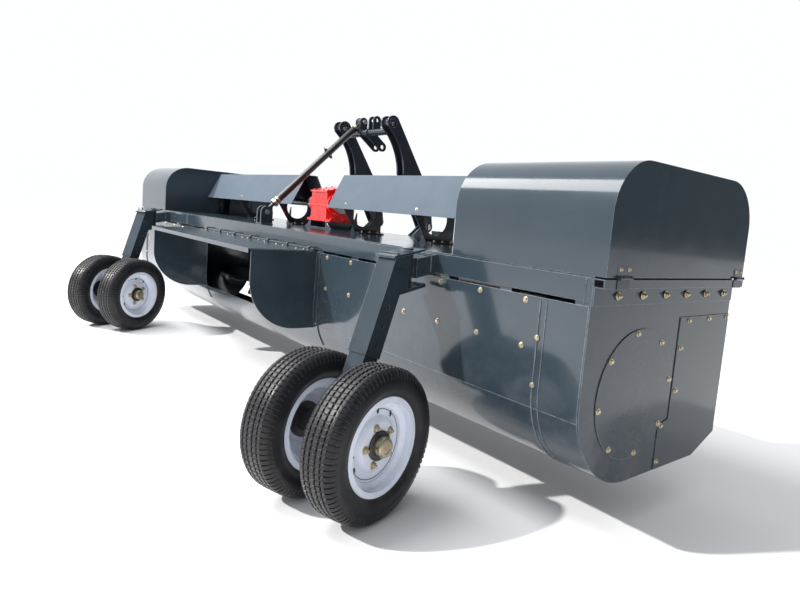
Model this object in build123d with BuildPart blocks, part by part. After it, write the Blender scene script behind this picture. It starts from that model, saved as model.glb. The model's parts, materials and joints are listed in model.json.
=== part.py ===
from build123d import *
import math
import os

os.makedirs("parts", exist_ok=True)

# Cotton stalk harvester for a tractor's three-point hitch, in millimetres.
# +X runs to the right along the working width, +Y towards the tractor, +Z up.
# Places are measured from the rear face of the body, midway along the width,
# and the whole machine is then moved so that its outer box is centred on Y.

# Body
half_length = 2750.0
wall_sheet = 5.0
end_sheet = 8.0
wall_top_gap = 14.5
seam_drop = 69.0
chamfer_run = 189.0
chamfer_rise = 79.0
lip_fold = 55.0
seat_gap = 0.3
front_wall_height = 277.0
cut_overrun = 2.0

# Beams and deck
beam_height = 84.0
beam_depth = 80.0
beam_wall = 6.0
beam_top_z = 1001.0
deck_sheet = 6.0
deck_inset = 6.0
spacer_width = 60.0
spacer_count = 6

# Trough and auger
trough_radius = 344.0
auger_z = 559.0
auger_gap = 39.0
auger_tube_radius = 60.0
auger_turns = 3
flight_end_gap = 10.0
flight_inner_x = 760.0
flight_sheet = 6.0
paddle_width = 180.0
paddle_sheet = 8.0
paddle_height = 190.0
paddle_places = (-0.75, -0.25, 0.25, 0.75)
floor_run = 156.0
ramp_run = 75.0
ramp_rise = 75.0
shaft_radius = 25.0
shaft_end_clearance = 12.0
shaft_fit = 0.09

# Pulling rotor
rotor_gap = 4.1
pass_gap = 32.0
rotor_z = 405.0
rotor_radius = 192.0
rotor_tube_radius = 70.0
flail_width = 70.0
flail_sheet = 12.0
flail_bend_radius = 140.0
flail_lead = 26.0
flail_count = 36
flail_rows = 4
flail_margin = 70.0

# Covers on the end plates
cover_radius = 252.5
cover_sheet = 4.0
cover_side_gap = 20.0
cover_step_gap = 4.0
cover_step_angle = 38.4
cover_step_rise = 23.0
cover_edge = 3.0
cover_top_drop = 73.0

# End rails and bolting strips
rail_width = 45.0
rail_height = 31.0
strip_sheet = 8.0
strip_height = 65.0
strip_inset = 11.0

# Discharge mouth
mouth_half = 880.0
mouth_sheet = 5.0
mouth_reach = 388.0
mouth_corner = 276.0
mouth_drop = 89.0
mouth_flange = 40.0
flange_wrap = 33.0
sill_drop = 92.0
flap_sheet = 4.0
flap_sink = 10.0
flap_reach = 405.0
flap_lip = 20.0
flap_hinge_y = -22.0
flap_hinge_rise = 1.0
flap_rod_radius = 8.0
flap_lug_radius = 14.0
flap_lug_width = 30.0
flap_lug_count = 7
flap_slot_reach = 21.0
flap_slot_side = 5.0

# Guards over the end drives
hood_length = 773.0
hood_rear_y = 5.0
hood_front_inset = 12.0
hood_height = 406.4
hood_corner = 200.0
hood_sheet = 4.0
hood_slot_half = 60.0
hinge_knuckle = 8.0
hinge_pin = 5.0
hinge_leaf = 3.0
hinge_leaf_height = 40.0
hinge_segment = 24.0
hinge_gap = 0.5
hinge_rear_y = 105.0
hinge_front_inset = 61.0

# Drive line
drive_y = 545.0
drive_height = 125.0
drive_radius = 22.0
coupling_radius = 60.0
coupling_width = 14.0
coupling_place = 34.0
end_drive_inset = 88.0
end_drive_margin = 120.0
end_drive_half = 130.0
end_drive_height = 270.0
end_drive_corner = 40.0

# Guards over the drive shafts and the plates that carry them
shield_inner_x = 270.0
shield_end_gap = 4.0
shield_rise = 230.0
shield_drop = 25.0
shield_half_top = 45.0
shield_half_foot = 160.0
shield_sheet = 3.0
plate_sheet = 8.0
plate_places = (480.0, 1240.0)
plate_hole_drop = 45.0
plate_hole_radius = 87.5
plate_foot_rear = 55.0
plate_front = 143.0
plate_web = 60.0
plate_base_sheet = 8.0
plate_base_width = 90.0

# Gearbox
box_half = 110.0
box_rear = 75.0
box_front = 155.0
box_stand_height = 52.4
box_rear_height = 208.0
box_height = 248.0
lid_reach = 170.0
lid_sheet = 12.0
lid_edge = 8.0
flange_half = 165.0
flange_height = 16.0
bearing_radius = 78.0
bearing_width = 24.0
bore_depth = 40.0
stand_plate = 10.0
stand_place = 120.0
stand_toe = 70.0
input_radius = 17.45
input_journal_radius = 15.0
input_reach = 100.0
input_gap = 2.0
input_cap_radius = 55.0
input_cap_height = 18.0

# Mast
mast_x = 325.0
mast_plate = 15.0
mast_gap = 62.0
mast_run = 380.0
mast_rise = 710.0
mast_foot_reach = 144.0
mast_foot_rise = 79.0
mast_head_radius = 50.0
mast_foot_radius = 45.0
mast_bush_radius = 34.0
mast_bush_bore = 24.0
mast_bush_stand = 5.0
mast_rear_shares = ((0.20, -0.02), (0.445, -0.069))
mast_front_share = (0.534, 0.116)
mast_head_turn = 25.0
cross_tube_front = 15.0
cross_tube_drop = 53.0
cross_tube_radius = 25.0
lug_sheet = 12.0
lug_half = 32.0
lug_place = 90.0
link_front = 120.0
link_drop = 87.0
link_half = 34.0
link_place = 44.0
link_sheet = 14.0
link_bore = 16.05

# Brace between the mast and the rear beam
brace_top_front = 10.0
brace_top_rise = 88.0
brace_foot_y = 106.0
brace_foot_rise = 84.4
brace_radius = 24.0
brace_wall_gap = 1.0
brace_eye_radius = 28.0
brace_eye_half = 22.0
brace_pin_radius = 12.0
brace_pin_head = 8.0
brace_rod_radius = 13.0
brace_rod_length = 120.0
brace_nut_radius = 27.0
brace_nut_height = 22.0
brace_top_length = 64.0
brace_lug_sheet = 15.0
brace_lug_half = 42.0

# Hitch brackets on the front beam
foot_plate = 15.0
pin_foot_radius = 14.0
pin_head_radius = 22.0
pin_head = 8.0
link_pin_x = 482.5
link_pin_gap = 65.0
link_pin_reach = 144.0
link_pin_drop = 181.0
link_pin_radius = 18.3
link_plate = 15.0
link_plate_half = 45.0
bracket_back = 12.0
bracket_under = 15.0
bracket_margin = 12.0

# Wheel legs
leg_x = 1890.0
leg_pivot_y = -132.0
leg_tube = 94.0
leg_wall = 5.0
leg_lean = 21.1
leg_foot_back = 233.6
leg_foot_drop = 415.6
leg_top_drop = 17.0
leg_hole_radius = 11.0
leg_hole_first = 46.0
leg_hole_pitch = 81.0
leg_hole_count = 4
head_front = -42.0
head_low_drop = 135.0
head_high_drop = 11.0
cap_rear = -147.0
cap_front = 60.0
cap_rear_drop = 13.0
cap_front_rise = 17.0
cap_sheet = 10.0
cap_half = 50.0
fork_rear = -90.0
fork_front = 85.0
fork_rear_drop = 159.0
fork_front_drop = 133.0
fork_sheet = 16.0
stub_half = 47.5
stub_end_y = -112.0
stub_top_drop = 3.0
stub_top_end_drop = 24.0
stub_low_drop = 82.0
stub_low_end_drop = 108.0
boss_radius = 26.0
pivot_radius = 16.0
pivot_head_radius = 24.0
pivot_head = 9.0
washer_radius = 30.0
washer_height = 7.0
strut_top_share = 0.8
axle_tube_radius = 38.0
axle_tube_half = 70.0
axle_radius = 20.0
turned_left = 30.2
turned_right = 15.3

# Twin wheels
twin_spacing = 322.0
tyre_radius = 297.4
tread_half = 63.0
shoulder_half = 75.0
shoulder_radius = 280.0
wall_half = 82.0
wall_radius = 238.0
bead_half = 62.0
bead_radius = 192.0
rim_seat = 172.0
rim_lip = 190.0
rim_lip_sheet = 5.0
rim_well = 148.0
rim_well_half = 22.0
rim_ledge_half = 34.0
rim_sheet = 5.0
disc_offset = 16.0
disc_dish = 20.0
disc_dish_radius = 88.0
disc_rise_radius = 108.0
hub_radius = 46.0
hub_flange_radius = 74.0
hub_flange_sheet = 9.0
hub_inner = 56.0
hub_outer = 50.0
hub_cap_radius = 28.0
hub_cap_height = 28.0
hub_end = 8.0

# Parking stands
stand_x = 620.0
sleeve_half = 40.0
sleeve_wall = 8.0
sleeve_length = 241.0
stand_head = 60.0
stand_base_sheet = 10.0
stand_base_half = 90.0
stand_base_rear = 85.0
stand_base_front = 90.0


# Depth of the body, from the trough, the auger and the rotor
auger_y = trough_radius
auger_radius = trough_radius - wall_sheet - auger_gap
axis_distance = auger_radius + pass_gap + rotor_radius
rotor_y = auger_y + math.sqrt(axis_distance ** 2 - (auger_z - rotor_z) ** 2)
body_depth = rotor_y + rotor_radius + rotor_gap + wall_sheet
floor_z = auger_z - trough_radius
floor_end_y = auger_y + floor_run
floor_lip_y = floor_end_y + ramp_run
floor_lip_z = floor_z + ramp_rise
chamfer_y = body_depth - chamfer_run
chamfer_z = floor_z + chamfer_rise
seam_z = auger_z - seam_drop
sill_z = auger_z - sill_drop
mouth_low_z = auger_z - mouth_drop

# Levels that follow from the beams and the deck
beam_low_z = beam_top_z - beam_height
plate_top_z = beam_low_z - seat_gap
wall_top_z = beam_low_z - wall_top_gap
front_wall_low_z = beam_low_z - front_wall_height
cover_top_z = beam_low_z - cover_top_drop
flap_hinge_z = beam_low_z + flap_hinge_rise
flap_low_z = flap_hinge_z - flap_sink
mouth_top_z = flap_low_z - seat_gap
deck_low_z = beam_top_z + seat_gap
deck_top_z = deck_low_z + deck_sheet
plate_low_z = deck_top_z + seat_gap
rail_low_z = beam_top_z - rail_height
strip_low_z = rail_low_z - strip_height

# Places of the guards and the drive line
rail_x = half_length + rail_width
hood_inner_x = rail_x - hood_length
hood_front_y = body_depth - hood_front_inset
hood_base_z = deck_top_z + seat_gap
hood_top_z = hood_base_z + hood_height
hinge_places = (hinge_rear_y, body_depth - hinge_front_inset)
end_drive_inner_x = hood_inner_x + end_drive_inset
box_rear_y = drive_y - box_rear
box_front_y = drive_y + box_front
box_low_z = plate_low_z + box_stand_height
box_rear_z = box_low_z + box_rear_height
box_top_z = box_low_z + box_height
box_lid_y = box_rear_y + lid_reach
drive_z = box_low_z + drive_height
shield_foot_z = drive_z - shield_drop
shield_top_z = shield_foot_z + shield_rise
plate_hole_z = drive_z - plate_hole_drop
plate_foot_rear_y = drive_y - plate_foot_rear
plate_front_y = drive_y + plate_front

# Places of the mast and the hitch
mast_foot_y = body_depth + mast_foot_reach
mast_foot_z = beam_top_z + mast_foot_rise
mast_head_y = mast_foot_y - mast_run
mast_head_z = mast_foot_z + mast_rise
cross_tube_y = mast_head_y + cross_tube_front
cross_tube_z = mast_head_z - cross_tube_drop
link_y = cross_tube_y + link_front
link_z = cross_tube_z - link_drop
brace_top_y = cross_tube_y + brace_top_front
brace_top_z = cross_tube_z + brace_top_rise
brace_foot_z = plate_low_z + brace_foot_rise
link_pin_y = body_depth + link_pin_reach
link_pin_z = beam_top_z - link_pin_drop
bracket_low_z = link_pin_z - link_plate_half - bracket_under
sleeve_low_z = beam_top_z - sleeve_length

# Levels of the wheel legs
leg_foot_z = beam_top_z - leg_foot_drop
leg_top_z = beam_top_z - leg_top_drop
head_low_z = beam_top_z - head_low_drop
head_high_z = beam_top_z - head_high_drop
cap_rear_z = beam_top_z - cap_rear_drop
cap_front_z = beam_top_z + cap_front_rise
fork_rear_z = beam_top_z - fork_rear_drop
fork_front_z = beam_top_z - fork_front_drop
stub_top_z = beam_top_z - stub_top_drop
stub_top_end_z = beam_top_z - stub_top_end_drop
stub_low_z = beam_top_z - stub_low_drop
stub_low_end_z = beam_top_z - stub_low_end_drop
axle_z = tyre_radius


def span(side, near, far):
    """Lower and upper x of a stretch, from its distances to the middle."""
    return min(side * near, side * far), max(side * near, side * far)


def prism_x(points, ends, mode=Mode.ADD):
    """Prism along X with a closed outline given as (y, z) pairs."""
    with BuildSketch(Plane.YZ.offset(ends[0])) as profile:
        with BuildLine():
            Polyline(*points, close=True)
        make_face()
    extrude(profile.sketch, amount=ends[1] - ends[0], mode=mode)


def box_x(ends, ys, zs, mode=Mode.ADD):
    """Upright block between two places on each axis."""
    prism_x([(ys[0], zs[0]), (ys[1], zs[0]), (ys[1], zs[1]), (ys[0], zs[1])], ends, mode)


def rod_x(y, z, radius, ends, mode=Mode.ADD):
    """Round bar along X."""
    with BuildSketch(Plane.YZ.offset(ends[0])) as profile:
        with Locations((y, z)):
            Circle(radius)
    extrude(profile.sketch, amount=ends[1] - ends[0], mode=mode)


def rod_y(x, z, radius, ends, mode=Mode.ADD):
    """Round bar along Y."""
    plane = Plane(origin=(0, ends[0], 0), x_dir=(1, 0, 0), z_dir=(0, 1, 0))
    with BuildSketch(plane) as profile:
        with Locations((x, -z)):
            Circle(radius)
    extrude(profile.sketch, amount=ends[1] - ends[0], mode=mode)


def rod_z(x, y, radius, ends, mode=Mode.ADD):
    """Round bar along Z."""
    with BuildSketch(Plane.XY.offset(ends[0])) as profile:
        with Locations((x, y)):
            Circle(radius)
    extrude(profile.sketch, amount=ends[1] - ends[0], mode=mode)


def plate_on(plane, points, ends, mode=Mode.ADD):
    """Plate between two heights over a plane, with a closed outline."""
    with BuildSketch(plane.offset(ends[0])) as profile:
        with BuildLine():
            Polyline(*points, close=True)
        make_face()
    extrude(profile.sketch, amount=ends[1] - ends[0], mode=mode)


def disc_on(plane, place, radius, ends, mode=Mode.ADD):
    """Round bar between two heights over a plane."""
    with BuildSketch(plane.offset(ends[0])) as profile:
        with Locations(place):
            Circle(radius)
    extrude(profile.sketch, amount=ends[1] - ends[0], mode=mode)


def rounded_lug(low, high, half, ends):
    """Upright plate from a low place to a round top about an eye."""
    box_x(ends, (high[0] - half, high[0] + half), (low, high[1]))
    rod_x(high[0], high[1], half, ends)


# Beams and deck
front_beam_y = body_depth - beam_depth
beam_core = (-half_length - cut_overrun, half_length + cut_overrun)
lug_step = 2 * (mouth_half - 2 * flap_lug_width) / (flap_lug_count - 1)
lug_xs = [lug_step * (index - (flap_lug_count - 1) / 2) for index in range(flap_lug_count)]
with BuildPart() as rear_beam:
    box_x((-half_length, half_length), (0, beam_depth), (beam_low_z, beam_top_z))
    box_x(beam_core, (beam_wall, beam_depth - beam_wall), (beam_low_z + beam_wall, beam_top_z - beam_wall),
          Mode.SUBTRACT)
    for x in lug_xs:
        ends = (x - flap_lug_width / 2, x + flap_lug_width / 2)
        rod_x(flap_hinge_y, flap_hinge_z, flap_lug_radius, ends)
        box_x(ends, (flap_hinge_y, beam_wall / 2), (flap_hinge_z, flap_hinge_z + flap_lug_radius))
        rod_x(flap_hinge_y, flap_hinge_z, flap_rod_radius + shaft_fit, ends, Mode.SUBTRACT)
rear_beam.part.label = "rear_beam"

with BuildPart() as front_beam:
    box_x((-half_length, half_length), (front_beam_y, body_depth), (beam_low_z, beam_top_z))
    box_x(beam_core, (front_beam_y + beam_wall, body_depth - beam_wall),
          (beam_low_z + beam_wall, beam_top_z - beam_wall), Mode.SUBTRACT)
front_beam.part.label = "front_beam"

with BuildPart() as top_deck:
    box_x((-half_length, half_length), (deck_inset, body_depth - deck_inset), (deck_low_z, deck_top_z))
top_deck.part.label = "top_deck"

# End plates with the bores for the auger and the rotor
inner_x = half_length - end_sheet
with BuildPart() as end_plates:
    for side in (-1, 1):
        low, high = span(side, inner_x, half_length)
        with BuildSketch(Plane.YZ.offset(low)):
            with BuildLine():
                Polyline((0, auger_z), (0, plate_top_z), (body_depth, plate_top_z), (body_depth, chamfer_z),
                         (chamfer_y, floor_z), (auger_y, floor_z))
                CenterArc((auger_y, auger_z), trough_radius, 180, 90)
            make_face()
            with Locations((auger_y, auger_z), (rotor_y, rotor_z)):
                Circle(shaft_radius + shaft_fit, mode=Mode.SUBTRACT)
        extrude(amount=high - low)
end_plates.part.label = "end_plates"

# Rear wall in two panels beside the mouth, hung on the beam by spacers
wall_reach = inner_x - seat_gap
outer_arc = trough_radius
inner_arc = trough_radius - wall_sheet


def seam_point(radius, height):
    """Point at a height on the rear of an arc about the auger."""
    return auger_y - math.sqrt(radius ** 2 - (auger_z - height) ** 2), height


def arc_middle(radius, start, end):
    """Point halfway between two others on an arc about the auger."""
    turn = (math.atan2(start[1] - auger_z, start[0] - auger_y) % (2 * math.pi)
            + math.atan2(end[1] - auger_z, end[0] - auger_y) % (2 * math.pi)) / 2
    return auger_y + radius * math.cos(turn), auger_z + radius * math.sin(turn)


seam_out = seam_point(outer_arc, seam_z)
seam_in = seam_point(inner_arc, seam_z)
panel_inner = mouth_half - mouth_sheet
with BuildPart() as rear_wall:
    for side in (-1, 1):
        low, high = span(side, panel_inner, wall_reach)
        with BuildSketch(Plane.YZ.offset(low)):
            with BuildLine():
                Polyline(seam_in, seam_out)
                ThreePointArc(seam_out, arc_middle(outer_arc, seam_out, (0, auger_z)), (0, auger_z))
                Polyline((0, auger_z), (0, wall_top_z), (lip_fold, wall_top_z),
                         (lip_fold, wall_top_z - wall_sheet),
                         (wall_sheet, wall_top_z - wall_sheet), (wall_sheet, auger_z))
                inner_end = (wall_sheet, auger_z)
                ThreePointArc(inner_end, arc_middle(inner_arc, seam_in, inner_end), seam_in)
            make_face()
        extrude(amount=high - low)
        step = (wall_reach - panel_inner - spacer_width) / (spacer_count - 1)
        for index in range(spacer_count):
            near = panel_inner + index * step
            box_x(span(side, near, near + spacer_width), (wall_sheet, lip_fold), (wall_top_z, plate_top_z))
rear_wall.part.label = "rear_wall"

# Trough under the auger, cut lower along the mouth
trough_seam_z = seam_z - seat_gap
sheet_out = seam_point(outer_arc, trough_seam_z)
sheet_in = seam_point(inner_arc, trough_seam_z)
ramp_length = math.hypot(floor_lip_y - floor_end_y, floor_lip_z - floor_z)
ramp_shift_y = wall_sheet * (floor_lip_z - floor_z) / ramp_length
ramp_shift_z = wall_sheet * (floor_lip_y - floor_end_y) / ramp_length
with BuildPart() as trough:
    with BuildSketch(Plane.YZ.offset(-wall_reach)):
        with BuildLine():
            ThreePointArc(sheet_out, arc_middle(outer_arc, sheet_out, (auger_y, floor_z)), (auger_y, floor_z))
            Polyline((auger_y, floor_z), (floor_end_y, floor_z), (floor_lip_y, floor_lip_z),
                     (floor_lip_y - ramp_shift_y, floor_lip_z + ramp_shift_z),
                     (floor_end_y - ramp_shift_y, floor_z + wall_sheet), (auger_y, floor_z + wall_sheet))
            ThreePointArc((auger_y, floor_z + wall_sheet), arc_middle(inner_arc, sheet_in,
                          (auger_y, floor_z + wall_sheet)), sheet_in)
            Line(sheet_in, sheet_out)
        make_face()
    extrude(amount=2 * wall_reach)
    box_x((-panel_inner, panel_inner), (-cut_overrun, lip_fold), (sill_z, seam_z), Mode.SUBTRACT)
trough.part.label = "trough"

with BuildPart() as front_wall:
    box_x((-wall_reach, wall_reach), (body_depth - wall_sheet, body_depth), (front_wall_low_z, plate_top_z))
front_wall.part.label = "front_wall"

# Round and front covers on the end plates
cover_face = half_length + seat_gap
cover_rear_y = auger_y + cover_radius + cover_side_gap
step_radius = cover_radius + cover_step_gap
step_turn = math.radians(cover_step_angle)
step_y = auger_y + step_radius * math.cos(step_turn)
step_z = auger_z - step_radius * math.sin(step_turn)
front_cover = [(step_y, floor_z + cover_edge), (chamfer_y, floor_z + cover_edge),
               (body_depth - cover_edge, chamfer_z + cover_edge), (body_depth - cover_edge, cover_top_z),
               (cover_rear_y, cover_top_z), (cover_rear_y, step_z + cover_step_rise), (step_y, step_z)]
with BuildPart() as end_covers:
    for side in (-1, 1):
        ends = span(side, cover_face, cover_face + cover_sheet)
        rod_x(auger_y, auger_z, cover_radius, ends)
        prism_x(front_cover, ends)
end_covers.part.label = "end_covers"

# Rails that carry the guards, and the bolting strips under them
with BuildPart() as end_rails:
    for side in (-1, 1):
        box_x(span(side, cover_face, rail_x), (0, body_depth), (rail_low_z, beam_top_z))
        strip_ends = span(side, cover_face, cover_face + strip_sheet)
        box_x(strip_ends, (0, body_depth - strip_inset), (strip_low_z, rail_low_z))
end_rails.part.label = "end_rails"

# Discharge mouth: two side plates with flanges that follow the wall and the trough
wrap = math.radians(flange_wrap)
flange_arc = outer_arc + seat_gap
skin_arc = flange_arc + mouth_sheet
wrap_out = (auger_y - skin_arc * math.cos(wrap), auger_z - skin_arc * math.sin(wrap))
wrap_in = (auger_y - flange_arc * math.cos(wrap), auger_z - flange_arc * math.sin(wrap))
flange_face = -seat_gap
flange_back = -seat_gap - mouth_sheet
arc_join = seam_point(skin_arc, mouth_low_z)
with BuildPart() as mouth_sides:
    for side in (-1, 1):
        low, high = span(side, mouth_half - mouth_sheet, mouth_half)
        with BuildSketch(Plane.YZ.offset(low)):
            with BuildLine():
                Polyline((flange_face, auger_z), (flange_face, mouth_top_z), (-mouth_reach, mouth_top_z),
                         (-mouth_reach, mouth_low_z + mouth_corner))
                CenterArc((-mouth_reach + mouth_corner, mouth_low_z + mouth_corner), mouth_corner, 180, 90)
                Polyline((-mouth_reach + mouth_corner, mouth_low_z), arc_join)
                ThreePointArc(arc_join, arc_middle(skin_arc, arc_join, wrap_out), wrap_out)
                Line(wrap_out, wrap_in)
                face_end = (flange_face, auger_z)
                ThreePointArc(wrap_in, arc_middle(flange_arc, wrap_in, face_end), face_end)
            make_face()
        extrude(amount=high - low)
        low, high = span(side, mouth_half, mouth_half + mouth_flange)
        with BuildSketch(Plane.YZ.offset(low)):
            with BuildLine():
                Polyline((flange_face, auger_z), (flange_face, mouth_top_z - flap_sheet),
                         (flange_back, mouth_top_z - flap_sheet), (flange_back, auger_z))
                back_end = (flange_back, auger_z)
                ThreePointArc(back_end, arc_middle(skin_arc, wrap_out, back_end), wrap_out)
                Line(wrap_out, wrap_in)
                face_end = (flange_face, auger_z)
                ThreePointArc(wrap_in, arc_middle(flange_arc, wrap_in, face_end), face_end)
            make_face()
        extrude(amount=high - low)
mouth_sides.part.label = "mouth_sides"

# Flap over the mouth, swinging on a rod in the lugs of the rear beam
with BuildPart() as mouth_flap:
    ends = (-mouth_half, mouth_half)
    box_x(ends, (-flap_reach, flap_hinge_y), (flap_low_z, flap_low_z + flap_sheet))
    box_x(ends, (-flap_reach, -flap_reach + flap_sheet), (flap_low_z - flap_lip, flap_low_z))
    slot_z = (flap_low_z - cut_overrun, flap_low_z + flap_sheet + cut_overrun)
    for x in lug_xs:
        reach = flap_lug_width / 2 + flap_slot_side
        box_x((x - reach, x + reach), (flap_hinge_y - flap_slot_reach, flap_hinge_y + cut_overrun), slot_z,
              Mode.SUBTRACT)
    rod_x(flap_hinge_y, flap_hinge_z, flap_rod_radius, ends)
mouth_flap.part.label = "mouth_flap"

# Guards over the end drives, swinging up about hinges at the ends
hinge_x = rail_x + seat_gap + hinge_knuckle
leaf_x = rail_x + seat_gap + hinge_leaf
half_segment = hinge_segment / 2
leaf_half = half_segment + hinge_gap + hinge_segment
knuckle_clear = hinge_knuckle + hinge_gap


def make_hood(side):
    """Hood open below, with the middle knuckles of its hinges."""
    with BuildPart() as hood:
        for inset, mode in ((0, Mode.ADD), (hood_sheet, Mode.SUBTRACT)):
            low, high = span(side, hood_inner_x + inset, rail_x - inset)
            with BuildSketch(Plane.YZ.offset(low)):
                with BuildLine():
                    rear, front, top = hood_rear_y + inset, hood_front_y - inset, hood_top_z - inset
                    turn = hood_corner - inset
                    Line((rear, hood_base_z), (rear, top - turn))
                    CenterArc((rear + turn, top - turn), turn, 180, -90)
                    Line((rear + turn, top), (front - turn, top))
                    CenterArc((front - turn, top - turn), turn, 90, -90)
                    Polyline((front, top - turn), (front, hood_base_z), (rear, hood_base_z))
                make_face()
            extrude(amount=high - low, mode=mode)
        box_x(span(side, hood_inner_x - cut_overrun, hood_inner_x + hood_sheet + cut_overrun),
              (drive_y - hood_slot_half, drive_y + hood_slot_half),
              (hood_base_z - cut_overrun, drive_z + hood_slot_half), Mode.SUBTRACT)
        for y in hinge_places:
            leaf = span(side, rail_x, leaf_x)
            top_z = hood_base_z + hinge_leaf_height
            box_x(leaf, (y - leaf_half, y + leaf_half), (hood_base_z + knuckle_clear, top_z))
            box_x(leaf, (y - half_segment, y + half_segment), (hood_base_z, top_z))
            rod_y(side * hinge_x, hood_base_z, hinge_knuckle, (y - half_segment, y + half_segment))
            rod_y(side * hinge_x, hood_base_z, hinge_pin + shaft_fit, (y - half_segment, y + half_segment),
                  Mode.SUBTRACT)
    return hood


drive_hood_left = make_hood(-1)
drive_hood_left.part.label = "drive_hood_left"
drive_hood_right = make_hood(1)
drive_hood_right.part.label = "drive_hood_right"

with BuildPart() as hood_hinges:
    for side in (-1, 1):
        for y in hinge_places:
            leaf = span(side, rail_x + seat_gap, leaf_x)
            low_z = hood_base_z - hinge_leaf_height
            box_x(leaf, (y - leaf_half, y + leaf_half), (low_z, hood_base_z - knuckle_clear))
            for low, high in ((-leaf_half, -half_segment - hinge_gap), (half_segment + hinge_gap, leaf_half)):
                box_x(leaf, (y + low, y + high), (low_z, hood_base_z))
                rod_y(side * hinge_x, hood_base_z, hinge_knuckle, (y + low, y + high))
            rod_y(side * hinge_x, hood_base_z, hinge_pin, (y - leaf_half, y + leaf_half))
hood_hinges.part.label = "hood_hinges"

# Guards over the drive shafts, folded from sheet and open at both ends
shield_spread = shield_half_foot - shield_half_top
side_shift = shield_sheet * math.hypot(shield_rise, shield_spread) / shield_rise


def shield_outline(shift, drop):
    """Corners of a trapezoid inside the guard, from the rear foot round the top."""
    gain = (shield_spread / shield_rise) * drop
    return [(drive_y - shield_half_foot + shift, shield_foot_z),
            (drive_y - shield_half_top + shift - gain, shield_top_z - drop),
            (drive_y + shield_half_top - shift + gain, shield_top_z - drop),
            (drive_y + shield_half_foot - shift, shield_foot_z)]


with BuildPart() as shaft_shields:
    for side in (-1, 1):
        ends = span(side, shield_inner_x, hood_inner_x - shield_end_gap)
        prism_x(shield_outline(0, 0), ends)
        prism_x(shield_outline(side_shift, shield_sheet), ends, Mode.SUBTRACT)
shaft_shields.part.label = "shaft_shields"

# Upright plates that carry the guards, each with a large hole for the shaft
plate_corners = shield_outline(side_shift + seat_gap, shield_sheet + seat_gap)
plate_slope = (plate_corners[3][0] - plate_corners[2][0]) / (plate_corners[2][1] - plate_corners[3][1])
plate_meet_z = shield_foot_z + (plate_corners[3][0] - plate_front_y) / plate_slope
with BuildPart() as shaft_plates:
    for side in (-1, 1):
        for place in plate_places:
            x = side * place
            low = x - plate_sheet / 2
            high = x + plate_sheet / 2
            prism_x([(plate_foot_rear_y, plate_low_z), (plate_front_y, plate_low_z), (plate_front_y, plate_meet_z),
                     plate_corners[2], plate_corners[1], plate_corners[0]], (low, high))
            rod_x(drive_y, plate_hole_z, plate_hole_radius, (low, high), Mode.SUBTRACT)
            box_x((x - plate_base_width / 2, x + plate_base_width / 2), (plate_foot_rear_y, plate_front_y),
                  (plate_low_z, plate_low_z + plate_base_sheet))
            web_plane = Plane(origin=(low, plate_foot_rear_y + plate_sheet, 0), x_dir=(-1, 0, 0), z_dir=(0, 1, 0))
            plate_on(web_plane, [(0, plate_low_z), (plate_web, plate_low_z), (0, plate_hole_z)], (-plate_sheet, 0))
shaft_plates.part.label = "shaft_plates"

# Gearbox with a sloping lid, bearing housings and a foot flange
box_ends = (-box_half, box_half)
lid_rise = box_top_z - box_rear_z
lid_run = box_lid_y - box_rear_y
lid_length = math.hypot(lid_run, lid_rise)
lid_plane = Plane(origin=(0, box_rear_y, box_rear_z), x_dir=(0, lid_run, lid_rise), z_dir=(1, 0, 0))
with BuildPart() as gearbox:
    prism_x([(box_rear_y, box_low_z), (box_front_y, box_low_z), (box_front_y, box_top_z), (box_lid_y, box_top_z),
             (box_rear_y, box_rear_z)], box_ends)
    plate_on(lid_plane, [(-lid_edge, 0), (lid_length, 0), (lid_length, lid_sheet), (-lid_edge, lid_sheet)],
             (-box_half - lid_edge, box_half + lid_edge))
    box_x((-flange_half, flange_half), (box_rear_y, box_front_y), (box_low_z, box_low_z + flange_height))
    rod_x(drive_y, drive_z, bearing_radius, (-box_half - bearing_width, box_half + bearing_width))
    rod_y(0, drive_z, input_cap_radius, (box_front_y, box_front_y + input_cap_height))
    for side in (-1, 1):
        rod_x(drive_y, drive_z, drive_radius + shaft_fit,
              span(side, box_half + bearing_width - bore_depth, box_half + bearing_width), Mode.SUBTRACT)
    rod_y(0, drive_z, input_journal_radius + shaft_fit,
          (box_front_y + input_cap_height - bore_depth, box_front_y + input_cap_height), Mode.SUBTRACT)
gearbox.part.label = "gearbox"

stand_top_z = box_low_z - seat_gap
with BuildPart() as gearbox_stand:
    box_x((-stand_place - stand_toe, stand_place + stand_toe), (box_rear_y, box_front_y),
          (plate_low_z, plate_low_z + plate_base_sheet))
    for side in (-1, 1):
        box_x(span(side, stand_place - stand_plate, stand_place), (box_rear_y, box_front_y),
              (plate_low_z, stand_top_z))
        for y in (box_rear_y + stand_plate, box_front_y):
            toe = Plane(origin=(side * stand_place, y, 0), x_dir=(-1, 0, 0), z_dir=(0, 1, 0))
            plate_on(toe, [(0, plate_low_z), (-side * stand_toe, plate_low_z), (0, stand_top_z)], (-stand_plate, 0))
gearbox_stand.part.label = "gearbox_stand"

# Shafts from the gearbox to the tractor and to both ends
input_face_y = box_front_y + input_cap_height
input_start_y = input_face_y + input_gap
with BuildPart() as input_shaft:
    rod_y(0, drive_z, input_journal_radius, (input_face_y - bore_depth + seat_gap, input_start_y))
    rod_y(0, drive_z, input_radius, (input_start_y, input_start_y + input_reach))
input_shaft.part.label = "input_shaft"

shaft_start_x = box_half + bearing_width - bore_depth + seat_gap
shaft_stop_x = end_drive_inner_x + bore_depth - seat_gap
coupling_x = box_half + bearing_width + coupling_place


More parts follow.
